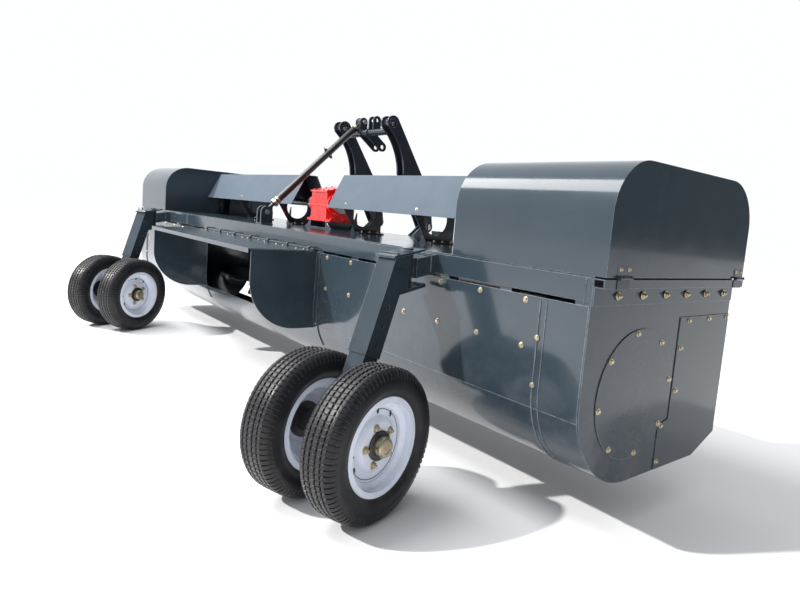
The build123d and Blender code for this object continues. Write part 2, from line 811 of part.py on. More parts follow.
def make_drive_shaft(side):
    """Shaft with the two flanges of its coupling near the gearbox."""
    with BuildPart() as shaft:
        rod_x(drive_y, drive_z, drive_radius, span(side, shaft_start_x, shaft_stop_x))
        rod_x(drive_y, drive_z, coupling_radius, span(side, coupling_x, coupling_x + 2 * coupling_width))
    return shaft


drive_shaft_left = make_drive_shaft(-1)
drive_shaft_left.part.label = "drive_shaft_left"
drive_shaft_right = make_drive_shaft(1)
drive_shaft_right.part.label = "drive_shaft_right"

# End drives under the hoods, each a plain casing
with BuildPart() as end_drives:
    for side in (-1, 1):
        low, high = span(side, end_drive_inner_x, half_length - end_drive_margin)
        with BuildSketch(Plane.YZ.offset(low)):
            with Locations((drive_y, hood_base_z + end_drive_height / 2)):
                RectangleRounded(2 * end_drive_half, end_drive_height, end_drive_corner)
        extrude(amount=high - low)
        rod_x(drive_y, drive_z, drive_radius + shaft_fit, span(side, end_drive_inner_x, end_drive_inner_x + bore_depth),
              Mode.SUBTRACT)
end_drives.part.label = "end_drives"

# Mast arms, each a pair of curved plates joined by a bushing
mast_length = math.hypot(mast_foot_y - mast_head_y, mast_foot_z - mast_head_z)
mast_along = ((mast_foot_y - mast_head_y) / mast_length, (mast_foot_z - mast_head_z) / mast_length)
mast_plane = Plane(origin=(0, mast_head_y, mast_head_z), x_dir=(0, mast_along[0], mast_along[1]), z_dir=(1, 0, 0))
neck_turn = math.radians(mast_head_turn)
neck = (mast_head_radius * math.sin(neck_turn), -mast_head_radius * math.cos(neck_turn))
rear_via, rear_end = [(mast_length * share[0], mast_length * share[1]) for share in mast_rear_shares]
front_end = (mast_length * mast_front_share[0], mast_length * mast_front_share[1])
with BuildPart() as mast_arms:
    for side in (-1, 1):
        centre = side * mast_x
        for low in (centre - mast_gap / 2 - mast_plate, centre + mast_gap / 2):
            with BuildSketch(mast_plane.offset(low)):
                with BuildLine():
                    Line((0, mast_head_radius), front_end)
                    TangentArc(front_end, (mast_length, mast_foot_radius),
                               tangent=(front_end[0], front_end[1] - mast_head_radius))
                    Polyline((mast_length, mast_foot_radius), (mast_length, -mast_foot_radius), rear_end)
                    ThreePointArc(rear_end, rear_via, neck)
                    Polyline(neck, (0, 0), (0, mast_head_radius))
                make_face()
                Circle(mast_head_radius)
                with Locations((mast_length, 0)):
                    Circle(mast_foot_radius)
                    Circle(pin_foot_radius + shaft_fit, mode=Mode.SUBTRACT)
            extrude(amount=mast_plate)
        bush = span(side, mast_x - mast_gap / 2 - mast_plate, mast_x + mast_gap / 2 + mast_plate + mast_bush_stand)
        rod_x(mast_head_y, mast_head_z, mast_bush_radius, bush)
        rod_x(mast_head_y, mast_head_z, mast_bush_bore, bush, Mode.SUBTRACT)
mast_arms.part.label = "mast_arms"

# Cross tube between the arms, with lugs for the brace and the top link
tube_reach = mast_x - mast_gap / 2 - mast_plate - seat_gap
eye_seat = brace_eye_half + brace_wall_gap
link_run = (link_y - cross_tube_y, link_z - cross_tube_z)
link_length = math.hypot(link_run[0], link_run[1])
link_plane = Plane(origin=(0, cross_tube_y, cross_tube_z), x_dir=(0, link_run[0], link_run[1]), z_dir=(1, 0, 0))
with BuildPart() as mast_cross_tube:
    rod_x(cross_tube_y, cross_tube_z, cross_tube_radius, (-tube_reach, tube_reach))
    for place in (-lug_place, lug_place):
        for near in (place - eye_seat - lug_sheet, place + eye_seat):
            ends = (near, near + lug_sheet)
            rounded_lug(cross_tube_z, (brace_top_y, brace_top_z), lug_half, ends)
            rod_x(brace_top_y, brace_top_z, brace_pin_radius + shaft_fit, ends, Mode.SUBTRACT)
    for place in (-link_place, link_place):
        ends = (place - link_sheet / 2, place + link_sheet / 2)
        plate_on(link_plane, [(0, -link_half), (link_length, -link_half),
                              (link_length, link_half), (0, link_half)], ends)
        disc_on(link_plane, (0, 0), link_half, ends)
        disc_on(link_plane, (link_length, 0), link_half, ends)
        disc_on(link_plane, (link_length, 0), link_bore, ends, Mode.SUBTRACT)
mast_cross_tube.part.label = "mast_cross_tube"

# Brace from the mast down to the rear beam, with a threaded end
brace_run = (brace_top_y - brace_foot_y, brace_top_z - brace_foot_z)
brace_length = math.hypot(brace_run[0], brace_run[1])
brace_plane = Plane(origin=(-lug_place, brace_foot_y, brace_foot_z), x_dir=(1, 0, 0),
                    z_dir=(0, brace_run[0], brace_run[1]))
brace_ends = (-lug_place - brace_eye_half, -lug_place + brace_eye_half)
nut_top = brace_rod_length - brace_nut_height / 2
with BuildPart() as mast_brace:
    disc_on(brace_plane, (0, 0), brace_rod_radius, (0, brace_rod_length))
    with BuildSketch(brace_plane.offset(nut_top - brace_nut_height)):
        RegularPolygon(brace_nut_radius, 6)
    extrude(amount=brace_nut_height)
    disc_on(brace_plane, (0, 0), brace_radius, (brace_rod_length, brace_length - brace_top_length))
    disc_on(brace_plane, (0, 0), brace_rod_radius, (brace_length - brace_top_length, brace_length))
    for y, z in ((brace_foot_y, brace_foot_z), (brace_top_y, brace_top_z)):
        rod_x(y, z, brace_eye_radius, brace_ends)
        rod_x(y, z, brace_pin_radius + shaft_fit, brace_ends, Mode.SUBTRACT)
mast_brace.part.label = "mast_brace"

with BuildPart() as brace_lug:
    reach = eye_seat + brace_lug_sheet
    for ends in ((-lug_place - reach, -lug_place - eye_seat), (-lug_place + eye_seat, -lug_place + reach)):
        rounded_lug(plate_low_z, (brace_foot_y, brace_foot_z), brace_lug_half, ends)
        rod_x(brace_foot_y, brace_foot_z, brace_pin_radius + shaft_fit, ends, Mode.SUBTRACT)
    box_x((-lug_place - reach - plate_base_sheet, -lug_place + reach + plate_base_sheet),
          (brace_foot_y - brace_lug_half, brace_foot_y + brace_lug_half), (plate_low_z, plate_low_z + plate_base_sheet))
brace_lug.part.label = "brace_lug"

# Brackets on the front beam for the mast feet and the lower hitch pins
bracket_y = body_depth + seat_gap
bracket_face_y = bracket_y + bracket_back
foot_near = mast_x - mast_gap / 2 + seat_gap
foot_far = mast_x + mast_gap / 2 - seat_gap
link_near = link_pin_x - link_pin_gap / 2
link_far = link_pin_x + link_pin_gap / 2
with BuildPart() as hitch_brackets:
    for side in (-1, 1):
        box_x(span(side, foot_near - bracket_margin, link_far + link_plate + bracket_margin),
              (bracket_y, bracket_face_y), (bracket_low_z, beam_top_z))
        for near, far in ((foot_near, foot_near + foot_plate), (foot_far - foot_plate, foot_far)):
            ends = span(side, near, far)
            prism_x([(bracket_face_y, bracket_low_z), (mast_foot_y + mast_foot_radius, mast_foot_z),
                     (mast_foot_y - mast_foot_radius, mast_foot_z), (bracket_face_y, beam_top_z)], ends)
            rod_x(mast_foot_y, mast_foot_z, mast_foot_radius, ends)
            rod_x(mast_foot_y, mast_foot_z, pin_foot_radius + shaft_fit, ends, Mode.SUBTRACT)
        for near, far in ((link_near - link_plate, link_near), (link_far, link_far + link_plate)):
            ends = span(side, near, far)
            box_x(ends, (bracket_face_y, link_pin_y),
                  (link_pin_z - link_plate_half, link_pin_z + link_plate_half))
            rod_x(link_pin_y, link_pin_z, link_plate_half, ends)
            rod_x(link_pin_y, link_pin_z, link_pin_radius + shaft_fit, ends, Mode.SUBTRACT)
hitch_brackets.part.label = "hitch_brackets"

# Pins of the mast feet, the lower links and the brace, each with a flat head
foot_pin_far = mast_x + mast_gap / 2 + mast_plate
link_pin_far = link_far + link_plate
brace_pin_half = eye_seat + brace_lug_sheet
pin_table = (
    # near, far, y, z, radius, head radius
    (mast_x - mast_gap / 2 - mast_plate, foot_pin_far, mast_foot_y, mast_foot_z, pin_foot_radius, pin_head_radius),
    (link_near - link_plate, link_pin_far, link_pin_y, link_pin_z, link_pin_radius, link_pin_radius + pin_head),
)
with BuildPart() as hitch_pins:
    for side in (-1, 1):
        for near, far, y, z, radius, head_radius in pin_table:
            rod_x(y, z, radius, span(side, near - pin_head, far + seat_gap))
            rod_x(y, z, head_radius, span(side, far + seat_gap, far + seat_gap + pin_head))
    for y, z in ((brace_foot_y, brace_foot_z), (brace_top_y, brace_top_z)):
        rod_x(y, z, brace_pin_radius, (-lug_place - brace_pin_half - pin_head, -lug_place + brace_pin_half + seat_gap))
        rod_x(y, z, brace_pin_radius + brace_pin_head / 2,
              (-lug_place + brace_pin_half + seat_gap, -lug_place + brace_pin_half + seat_gap + brace_pin_head))
hitch_pins.part.label = "hitch_pins"

# Stub arms on the rear beam, each with the pivot boss of a castor leg
lean = math.radians(leg_lean)
trail = leg_foot_back + (leg_foot_z - axle_z) * math.tan(lean)
cap_slope = (cap_front_z - cap_rear_z) / (cap_front - cap_rear)
fork_slope = (fork_front_z - fork_rear_z) / (fork_front - fork_rear)
cap_under_z = cap_rear_z - cap_rear * cap_slope - cap_sheet
fork_top_z = fork_rear_z - fork_rear * fork_slope
boss_low_z = fork_top_z + washer_height + seat_gap
boss_high_z = cap_under_z - washer_height - seat_gap
with BuildPart() as stub_arms:
    for side in (-1, 1):
        centre = side * leg_x
        ends = (centre - stub_half, centre + stub_half)
        prism_x([(-seat_gap, stub_low_z), (-seat_gap, stub_top_z), (stub_end_y, stub_top_end_z),
                 (stub_end_y, stub_low_end_z)], ends)
        box_x((centre - boss_radius, centre + boss_radius), (leg_pivot_y, stub_end_y),
              (stub_low_end_z, stub_top_end_z))
        rod_z(centre, leg_pivot_y, boss_radius, (boss_low_z, boss_high_z))
        rod_z(centre, leg_pivot_y, pivot_radius + shaft_fit, (boss_low_z, boss_high_z), Mode.SUBTRACT)
stub_arms.part.label = "stub_arms"


def castor_plane(side, turned):
    """Upright plane through a castor's pivot: first axis forward, normal along the axle."""
    turn = math.radians(turned)
    return Plane(origin=(side * leg_x, leg_pivot_y, 0), x_dir=(-math.sin(turn), math.cos(turn), 0),
                 z_dir=(math.cos(turn), math.sin(turn), 0))


def lean_point(height, offset):
    """Point at a height along a leg's line, shifted square to it, as (forward, height)."""
    forward = -leg_foot_back + (height - leg_foot_z) * math.tan(lean)
    return forward + offset * math.cos(lean), height - offset * math.sin(lean)


def along_point(distance, offset):
    """Point at a distance above the foot of a leg, shifted square to it."""
    forward = -leg_foot_back + distance * math.sin(lean) + offset * math.cos(lean)
    return forward, leg_foot_z + distance * math.cos(lean) - offset * math.sin(lean)


leg_half = leg_tube / 2
leg_core = leg_half - leg_wall
leg_length = (leg_top_z - leg_foot_z) / math.cos(lean)


def make_castor_leg(side, turned):
    """Square tube under a fork that turns about the upright pivot."""
    plane = castor_plane(side, turned)
    across = (-leg_half, leg_half)
    core = (-leg_core, leg_core)
    with BuildPart() as leg:
        plate_on(plane, [along_point(0, -leg_half), along_point(0, leg_half), lean_point(leg_top_z, leg_half),
                         lean_point(leg_top_z, -leg_half)], across)
        plate_on(plane, [lean_point(head_low_z, 0), (head_front, head_low_z), (head_front, head_high_z),
                         lean_point(head_high_z, 0)], across)
        plate_on(plane, [(head_front, head_low_z - cut_overrun), (cap_front + leg_tube, head_low_z - cut_overrun),
                         (cap_front + leg_tube, cap_front_z + leg_tube), (head_front, cap_front_z + leg_tube)],
                 (-leg_tube, leg_tube), Mode.SUBTRACT)
        plate_on(plane, [(cap_rear, cap_rear_z - cap_sheet), (cap_front, cap_front_z - cap_sheet),
                         (cap_front, cap_front_z), (cap_rear, cap_rear_z)], (-cap_half, cap_half))
        plate_on(plane, [(fork_rear, fork_rear_z - fork_sheet), (fork_front, fork_front_z - fork_sheet),
                         (fork_front, fork_front_z), (fork_rear, fork_rear_z)], across)
        for index in range(leg_hole_count):
            disc_on(plane, along_point(leg_hole_first + index * leg_hole_pitch, 0), leg_hole_radius, across,
                    Mode.SUBTRACT)
        plate_on(plane, [lean_point(fork_rear_z, 0), (fork_rear, fork_rear_z - fork_sheet), (head_front, fork_rear_z),
                         (head_front, head_low_z), lean_point(head_low_z, 0)], across)
        plate_on(plane, [along_point(-cut_overrun, -leg_core), along_point(-cut_overrun, leg_core),
                         along_point(leg_length * strut_top_share + seat_gap, leg_core),
                         along_point(leg_length * strut_top_share + seat_gap, -leg_core)], core, Mode.SUBTRACT)
        centre = (side * leg_x, leg_pivot_y)
        rod_z(centre[0], centre[1], washer_radius, (fork_top_z - fork_sheet, fork_top_z + washer_height))
        rod_z(centre[0], centre[1], washer_radius, (boss_high_z + seat_gap, cap_under_z + cap_sheet))
        rod_z(centre[0], centre[1], pivot_radius, (fork_top_z - fork_sheet - pivot_head, cap_under_z + cap_sheet))
        rod_z(centre[0], centre[1], pivot_head_radius,
              (cap_under_z + cap_sheet - cap_slope * cap_half, cap_under_z + cap_sheet + pivot_head))
        rod_z(centre[0], centre[1], pivot_head_radius,
              (fork_top_z - fork_sheet - pivot_head, fork_top_z - fork_sheet + fork_slope * cap_half))
    return leg


castor_leg_left = make_castor_leg(-1, turned_left)
castor_leg_left.part.label = "castor_leg_left"
castor_leg_right = make_castor_leg(1, turned_right)
castor_leg_right.part.label = "castor_leg_right"

strut_half = leg_core - seat_gap
hub_near = twin_spacing / 2 - hub_inner
hub_far = twin_spacing / 2 + hub_outer
hub_seat = twin_spacing / 2 + disc_offset + disc_dish - seat_gap


def make_castor_strut(side, turned):
    """Inner tube of a leg with the axle of its twin wheels."""
    plane = castor_plane(side, turned)
    strut_low = (leg_foot_z - axle_z) / math.cos(lean)
    with BuildPart() as strut:
        plate_on(plane, [along_point(-strut_low, -strut_half), along_point(-strut_low, strut_half),
                         along_point(leg_length * strut_top_share, strut_half),
                         along_point(leg_length * strut_top_share, -strut_half)], (-strut_half, strut_half))
        disc_on(plane, (-trail, axle_z), axle_tube_radius, (-axle_tube_half, axle_tube_half))
        disc_on(plane, (-trail, axle_z), axle_radius, (-hub_far + hub_end, hub_far - hub_end))
    return strut


castor_strut_left = make_castor_strut(-1, turned_left)
castor_strut_left.part.label = "castor_strut_left"
castor_strut_right = make_castor_strut(1, turned_right)
castor_strut_right.part.label = "castor_strut_right"

# Twin wheels: half profiles as tables of (across, radius), the tread side out
tyre_profile = (
    # across, radius
    (-bead_half, rim_seat + seat_gap), (-bead_half, bead_radius), (-wall_half, wall_radius),
    (-shoulder_half, shoulder_radius), (-tread_half, tyre_radius), (tread_half, tyre_radius),
    (shoulder_half, shoulder_radius), (wall_half, wall_radius), (bead_half, bead_radius),
    (bead_half, rim_seat + seat_gap),
)
lip_face = bead_half + seat_gap
rim_profile = (
    # across, radius
    (-lip_face - rim_lip_sheet, rim_lip), (-lip_face, rim_lip), (-lip_face, rim_seat), (-rim_ledge_half, rim_seat),
    (-rim_well_half, rim_well), (rim_well_half, rim_well), (rim_ledge_half, rim_seat), (lip_face, rim_seat),
    (lip_face, rim_lip), (lip_face + rim_lip_sheet, rim_lip), (lip_face + rim_lip_sheet, rim_seat - rim_sheet),
    (rim_ledge_half + rim_sheet, rim_seat - rim_sheet), (rim_well_half + rim_sheet, rim_well - rim_sheet),
    (-rim_well_half - rim_sheet, rim_well - rim_sheet), (-rim_ledge_half - rim_sheet, rim_seat - rim_sheet),
    (-lip_face - rim_lip_sheet, rim_seat - rim_sheet),
)
disc_profile = (
    # across, radius
    (disc_offset, rim_well - rim_sheet / 2), (disc_offset, disc_rise_radius),
    (disc_offset + disc_dish, disc_dish_radius), (disc_offset + disc_dish, hub_radius + seat_gap),
    (disc_offset + disc_dish + rim_sheet, hub_radius + seat_gap),
    (disc_offset + disc_dish + rim_sheet, disc_dish_radius + rim_sheet / 2),
    (disc_offset + rim_sheet, disc_rise_radius + rim_sheet / 2), (disc_offset + rim_sheet, rim_well - rim_sheet / 2),
)


def wheel_plane(side, turned):
    """Upright plane along a twin axle: first axis along the axle, second up."""
    turn = math.radians(turned)
    origin = (side * leg_x + trail * math.sin(turn), leg_pivot_y - trail * math.cos(turn), axle_z)
    return Plane(origin=origin, x_dir=(math.cos(turn), math.sin(turn), 0), z_dir=(math.sin(turn), -math.cos(turn), 0))


def turn_profile(plane, axle, table, place, outward):
    """Ring turned about the axle from a table of (across, radius)."""
    with BuildSketch(plane) as profile:
        with BuildLine():
            Polyline(*[(place + outward * across, radius) for across, radius in table], close=True)
        make_face()
    revolve(profile.sketch, axis=axle)


def make_tyres(side, turned):
    """Two tyres on one axle."""
    plane = wheel_plane(side, turned)
    axle = Axis(plane.origin, plane.x_dir)
    with BuildPart() as tyres:
        for outward in (-1, 1):
            turn_profile(plane, axle, tyre_profile, outward * twin_spacing / 2, outward)
    return tyres


def make_rims(side, turned):
    """Two rims with dished discs."""
    plane = wheel_plane(side, turned)
    axle = Axis(plane.origin, plane.x_dir)
    with BuildPart() as rims:
        for outward in (-1, 1):
            place = outward * twin_spacing / 2
            turn_profile(plane, axle, rim_profile, place, outward)
            turn_profile(plane, axle, disc_profile, place, outward)
    return rims


def make_hubs(side, turned):
    """Two hub drums with caps, turning on the ends of the axle."""
    plane = wheel_plane(side, turned)
    cross = Plane(origin=plane.origin, x_dir=(0, 0, 1), z_dir=plane.x_dir)
    with BuildPart() as hubs:
        for outward in (-1, 1):
            disc_on(cross, (0, 0), hub_radius, span(outward, hub_near, hub_far))
            disc_on(cross, (0, 0), hub_flange_radius, span(outward, hub_seat - hub_flange_sheet, hub_seat))
            disc_on(cross, (0, 0), hub_cap_radius, span(outward, hub_far, hub_far + hub_cap_height))
            bore_ends = span(outward, hub_near, hub_far - hub_end + seat_gap)
            disc_on(cross, (0, 0), axle_radius + shaft_fit, bore_ends, Mode.SUBTRACT)
    return hubs


tyres_left = make_tyres(-1, turned_left)
tyres_left.part.label = "tyres_left"
tyres_right = make_tyres(1, turned_right)
tyres_right.part.label = "tyres_right"
rims_left = make_rims(-1, turned_left)
rims_left.part.label = "rims_left"
rims_right = make_rims(1, turned_right)
rims_right.part.label = "rims_right"
hubs_left = make_hubs(-1, turned_left)
hubs_left.part.label = "hubs_left"
hubs_right = make_hubs(1, turned_right)
hubs_right.part.label = "hubs_right"

# Auger: left- and right-hand flights that carry the stalks to the middle, and paddles there
auger_reach = inner_x - shaft_end_clearance
flight_length = auger_reach - flight_end_gap - flight_inner_x
root_radius = auger_tube_radius + seat_gap
flight_depth = auger_radius - root_radius
with BuildPart() as auger:
    rod_x(auger_y, auger_z, auger_tube_radius, (-auger_reach, auger_reach))
    rod_x(auger_y, auger_z, shaft_radius, (-half_length, half_length))
    for place in paddle_places:
        ends = (place * flight_inner_x - paddle_width / 2, place * flight_inner_x + paddle_width / 2)
        reach = auger_tube_radius + paddle_height
        paddle_levels = (auger_z - paddle_sheet / 2, auger_z + paddle_sheet / 2)
        box_x(ends, (auger_y - reach, auger_y + reach), paddle_levels)
auger.part.label = "auger"

with BuildPart() as auger_flights:
    for side in (-1, 1):
        centre = Vector(side * flight_inner_x, auger_y, auger_z)
        with BuildLine() as path:
            Helix(pitch=flight_length / auger_turns, height=flight_length, radius=root_radius, center=centre,
                  direction=(side, 0, 0), lefthand=side < 0)
        edge = path.edges()[0]
        with BuildSketch(Plane(origin=edge @ 0, x_dir=edge @ 0 - centre, z_dir=edge % 0)) as section:
            with Locations((flight_depth / 2, 0)):
                Rectangle(flight_depth, flight_sheet)
        sweep(section.sketch, path=edge, is_frenet=True)
auger_flights.part.label = "auger_flights"

# Rotor with rows of bent flails that pull the stalks
bar_root = rotor_tube_radius - flail_sheet
half_bar = flail_sheet / 2
tip_radius = math.sqrt(rotor_radius ** 2 - (flail_lead + half_bar) ** 2)
flail_outline = [(bar_root, -half_bar), (flail_bend_radius, -half_bar), (tip_radius, flail_lead - half_bar),
                 (tip_radius, flail_lead + half_bar), (flail_bend_radius, half_bar), (bar_root, half_bar)]
rotor_reach = inner_x - shaft_end_clearance
flail_step = 2 * (rotor_reach - flail_margin) / (flail_count - 1)
with BuildPart() as rotor:
    rod_x(rotor_y, rotor_z, rotor_tube_radius, (-rotor_reach, rotor_reach))
    rod_x(rotor_y, rotor_z, shaft_radius, (-half_length, half_length))
    for index in range(flail_count):
        x = -rotor_reach + flail_margin + index * flail_step
        angle = math.radians((index % flail_rows + 1 / 2) * 360 / flail_rows)
        seat = Plane(origin=(x, rotor_y, rotor_z), x_dir=(0, math.cos(angle), math.sin(angle)), z_dir=(1, 0, 0))
        plate_on(seat, flail_outline, (-flail_width / 2, flail_width / 2))
rotor.part.label = "rotor"

# Parking stands that slide in sleeves on the front beam
sleeve_core = sleeve_half - sleeve_wall
stand_y = body_depth + seat_gap + sleeve_half
stand_half = sleeve_core - seat_gap
with BuildPart() as stand_sleeves:
    for side in (-1, 1):
        x = side * stand_x
        box_x((x - sleeve_half, x + sleeve_half), (stand_y - sleeve_half, stand_y + sleeve_half),
              (sleeve_low_z, beam_top_z))
        box_x((x - sleeve_core, x + sleeve_core), (stand_y - sleeve_core, stand_y + sleeve_core),
              (sleeve_low_z - cut_overrun, beam_top_z + cut_overrun), Mode.SUBTRACT)
stand_sleeves.part.label = "stand_sleeves"


def make_stand(side):
    """Square post on a flat foot."""
    x = side * stand_x
    with BuildPart() as stand:
        box_x((x - stand_half, x + stand_half), (stand_y - stand_half, stand_y + stand_half),
              (0, beam_top_z + stand_head))
        base_depth = (stand_y - stand_base_rear, stand_y + stand_base_front)
        box_x((x - stand_base_half, x + stand_base_half), base_depth, (0, stand_base_sheet))
    return stand


stand_left = make_stand(-1)
stand_left.part.label = "stand_left"
stand_right = make_stand(1)
stand_right.part.label = "stand_right"

# The outer box is centred on Y between the hitch brackets and the rearmost tyre
front_reach = max(mast_foot_y + mast_foot_radius, link_pin_y + link_plate_half)
rear_reach = min(leg_pivot_y - trail * math.cos(turn) - (twin_spacing / 2 + across) * math.sin(turn)
                 - radius * math.cos(turn)
                 for turn in (math.radians(turned_left), math.radians(turned_right))
                 for across, radius in tyre_profile)
middle_y = (front_reach + rear_reach) / 2
pieces = (
    rear_beam, front_beam, top_deck, end_plates, rear_wall, trough, front_wall, end_covers,
    end_rails, mouth_sides, mouth_flap, drive_hood_left, drive_hood_right, hood_hinges,
    shaft_shields, shaft_plates, gearbox, gearbox_stand, input_shaft, drive_shaft_left, drive_shaft_right,
    end_drives, mast_arms, mast_cross_tube, mast_brace, brace_lug, hitch_brackets, hitch_pins, stub_arms,
    castor_leg_left, castor_leg_right, castor_strut_left, castor_strut_right, tyres_left, tyres_right,
    rims_left, rims_right, hubs_left, hubs_right, auger, auger_flights, rotor, stand_sleeves, stand_left, stand_right,
)
for piece in pieces:
    piece.part.locate(Location((0, -middle_y, 0)))
    export_step(piece.part, "parts/" + piece.part.label + ".step")
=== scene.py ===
import json
import math

import bmesh
import bpy
from mathutils import Matrix, Vector


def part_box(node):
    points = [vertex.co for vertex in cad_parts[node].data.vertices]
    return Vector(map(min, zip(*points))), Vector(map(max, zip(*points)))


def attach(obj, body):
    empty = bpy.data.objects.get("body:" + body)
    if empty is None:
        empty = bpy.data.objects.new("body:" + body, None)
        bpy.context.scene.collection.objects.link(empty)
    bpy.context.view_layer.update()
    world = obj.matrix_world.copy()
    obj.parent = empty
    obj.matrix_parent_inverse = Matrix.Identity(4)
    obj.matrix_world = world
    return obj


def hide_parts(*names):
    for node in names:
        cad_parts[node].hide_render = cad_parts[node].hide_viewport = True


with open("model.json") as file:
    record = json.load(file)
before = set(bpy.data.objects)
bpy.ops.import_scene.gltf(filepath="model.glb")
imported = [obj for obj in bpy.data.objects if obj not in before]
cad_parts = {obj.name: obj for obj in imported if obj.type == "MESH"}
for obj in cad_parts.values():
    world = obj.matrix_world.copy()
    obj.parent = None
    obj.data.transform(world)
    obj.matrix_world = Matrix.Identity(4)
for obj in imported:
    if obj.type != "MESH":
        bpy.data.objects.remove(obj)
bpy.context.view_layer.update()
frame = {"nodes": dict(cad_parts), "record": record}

# Lengths are in metres: X along the working width, Y towards the tractor, Z up
SIDES = (-1, 1)
NAMED_SIDES = (("left", -1), ("right", 1))
JOINTS = {joint["name"]: joint for joint in frame["record"]["behaviour"]["joints"]}

# Rear face of the body in the row frame: places below are measured from it
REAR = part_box("rear_wall")[0][1]

# Camera of the photograph, fitted in the frame of the machine
IMAGE_WIDTH = 800.0
IMAGE_HEIGHT = 600.0
FOCAL_PIXELS = 603.04
CENTRE_X = 451.41
CENTRE_Y = 283.91
CAMERA_PLACE = (3.938, -1.685 + REAR, 1.154)
CAMERA_AZIMUTH = math.radians(48.416)
CAMERA_PITCH = math.radians(6.0935)
CAMERA_ROLL = math.radians(5.068)
CAMERA_REACH = 200.0
SENSOR_WIDTH = 36.0

# Sun from the left rear, softbox above it, and a pale sky that darkens towards the right front
SUN_TRAVEL = (0.40, 0.72, -0.66)
SUN_STRENGTH = 4.2
SUN_ANGLE = math.radians(1.6)
SUN_COLOUR = (1.0, 0.98, 0.95)
SOFTBOX_PLACE = (-3.0, -3.0, 6.5)
SOFTBOX_SIZE = (9.0, 3.4)
SOFTBOX_POWER = 900.0
SKY_COLOUR = (0.95, 0.97, 1.0, 1.0)
SKY_BRIGHT = 1.04
SKY_DARK = 0.13
SKY_SHADE_DIRECTION = (0.8, 0.6, 0.0)
SKY_SHADE_START = 0.38
SKY_SHADE_FULL = 0.72

FLOOR_SIZE = 80.0
FLOOR_DROP = 0.0005
FLOOR_COLOUR = (0.77, 0.77, 0.78, 1.0)
FLOOR_ROUGHNESS = 0.7

# Dust lies on everything near the ground
DUST_COLOUR = (0.36, 0.33, 0.29)
DUST_HEIGHT = 0.9

# Cosines between the rounded and the flat normal, where an edge starts to lighten and is fully lightened;
# the lighter edges are partly rubbed paint and partly a painted highlight
EDGE_WEAR_AND_HIGHLIGHT = (0.985, 0.86)
EDGE_SAMPLES = 4

# Noises in the finishes, the part of each one's range that shows, and what it is carried to
CLOUDS = {"detail": 5.0, "roughness": 0.6}
CLOUD_RANGE = (0.3, 0.7)
CHIPS = {"scale": 38.0, "detail": 4.0}
CHIP_RANGE = (0.35, 0.62)
CHIP_AMOUNT = (0.35, 1.0)
SPECKS = {"scale": 9.0, "detail": 8.0, "roughness": 0.75}
SPECK_RANGE = (0.42, 0.72)
SMEARS = {"scale": 6.0, "detail": 6.0, "roughness": 0.65}
SMEAR_RANGE = (0.3, 0.75)
SMEAR_SHARES = (0.75, 1.5)
GRAIN = {"detail": 2.0}
GRAIN_DEPTH = 0.001

# Places of the colour sockets on Blender's mix node
MIX_FIRST, MIX_SECOND, MIX_RESULT = 6, 7, 2


def place(x, y, z):
    """A place given from the rear face of the body, in the row frame."""
    return Vector((x, y + REAR, z))


def link_object(name, data):
    thing = bpy.data.objects.new(name, data)
    bpy.context.scene.collection.objects.link(thing)
    return thing


# Camera and light
def make_camera():
    """Camera at the photograph's place, with the same framing."""
    azimuth, pitch, roll = CAMERA_AZIMUTH, CAMERA_PITCH, CAMERA_ROLL
    level_view = Vector((-math.sin(azimuth), math.cos(azimuth), 0.0))
    view = level_view * math.cos(pitch) - Vector((0.0, 0.0, math.sin(pitch)))
    level_right = Vector((math.cos(azimuth), math.sin(azimuth), 0.0))
    level_up = level_right.cross(view)
    right = level_right * math.cos(roll) + level_up * math.sin(roll)
    up = -level_right * math.sin(roll) + level_up * math.cos(roll)
    camera = bpy.data.cameras.new("photo_camera")
    camera.sensor_fit = "HORIZONTAL"
    camera.sensor_width = SENSOR_WIDTH
    camera.lens = FOCAL_PIXELS * SENSOR_WIDTH / IMAGE_WIDTH
    camera.shift_x = (IMAGE_WIDTH / 2 - CENTRE_X) / IMAGE_WIDTH
    camera.shift_y = (CENTRE_Y - IMAGE_HEIGHT / 2) / IMAGE_WIDTH
    camera.clip_end = CAMERA_REACH
    holder = link_object("photo_camera", camera)
    basis = Matrix((right, up, -view)).transposed().to_4x4()
    holder.matrix_world = Matrix.Translation(CAMERA_PLACE) @ basis
    bpy.context.scene.camera = holder


def make_sky():
    """A pale sky, shaded where the end faces mirror it."""
    world = bpy.data.worlds.new("studio")
    bpy.context.scene.world = world
    world.use_nodes = True
    tree = world.node_tree
    sky = tree.nodes["Background"]
    sky.inputs["Color"].default_value = SKY_COLOUR
    coords = add(tree, "ShaderNodeTexCoord")
    side = add(tree, "ShaderNodeVectorMath", operation="DOT_PRODUCT")
    side.inputs[1].default_value = SKY_SHADE_DIRECTION
    tree.links.new(coords.outputs["Generated"], side.inputs[0])
    shade = (SKY_SHADE_START, SKY_SHADE_FULL)
    strength = remap(tree, side.outputs["Value"], shade, (SKY_BRIGHT, SKY_DARK))
    tree.links.new(strength, sky.inputs["Strength"])


def make_lights():
    """A soft sun, and a softbox that lays a bright band on the guards over the end drives."""
    sun = bpy.data.lights.new("sun", "SUN")
    sun.energy = SUN_STRENGTH
    sun.angle = SUN_ANGLE
    sun.color = SUN_COLOUR
    holder = link_object("sun", sun)
    holder.rotation_euler = Vector(SUN_TRAVEL).to_track_quat("-Z", "Y").to_euler()
    softbox = bpy.data.lights.new("softbox", "AREA")
    softbox.shape = "RECTANGLE"
    softbox.size, softbox.size_y = SOFTBOX_SIZE
    softbox.energy = SOFTBOX_POWER
    holder = link_object("softbox", softbox)
    holder.location = SOFTBOX_PLACE


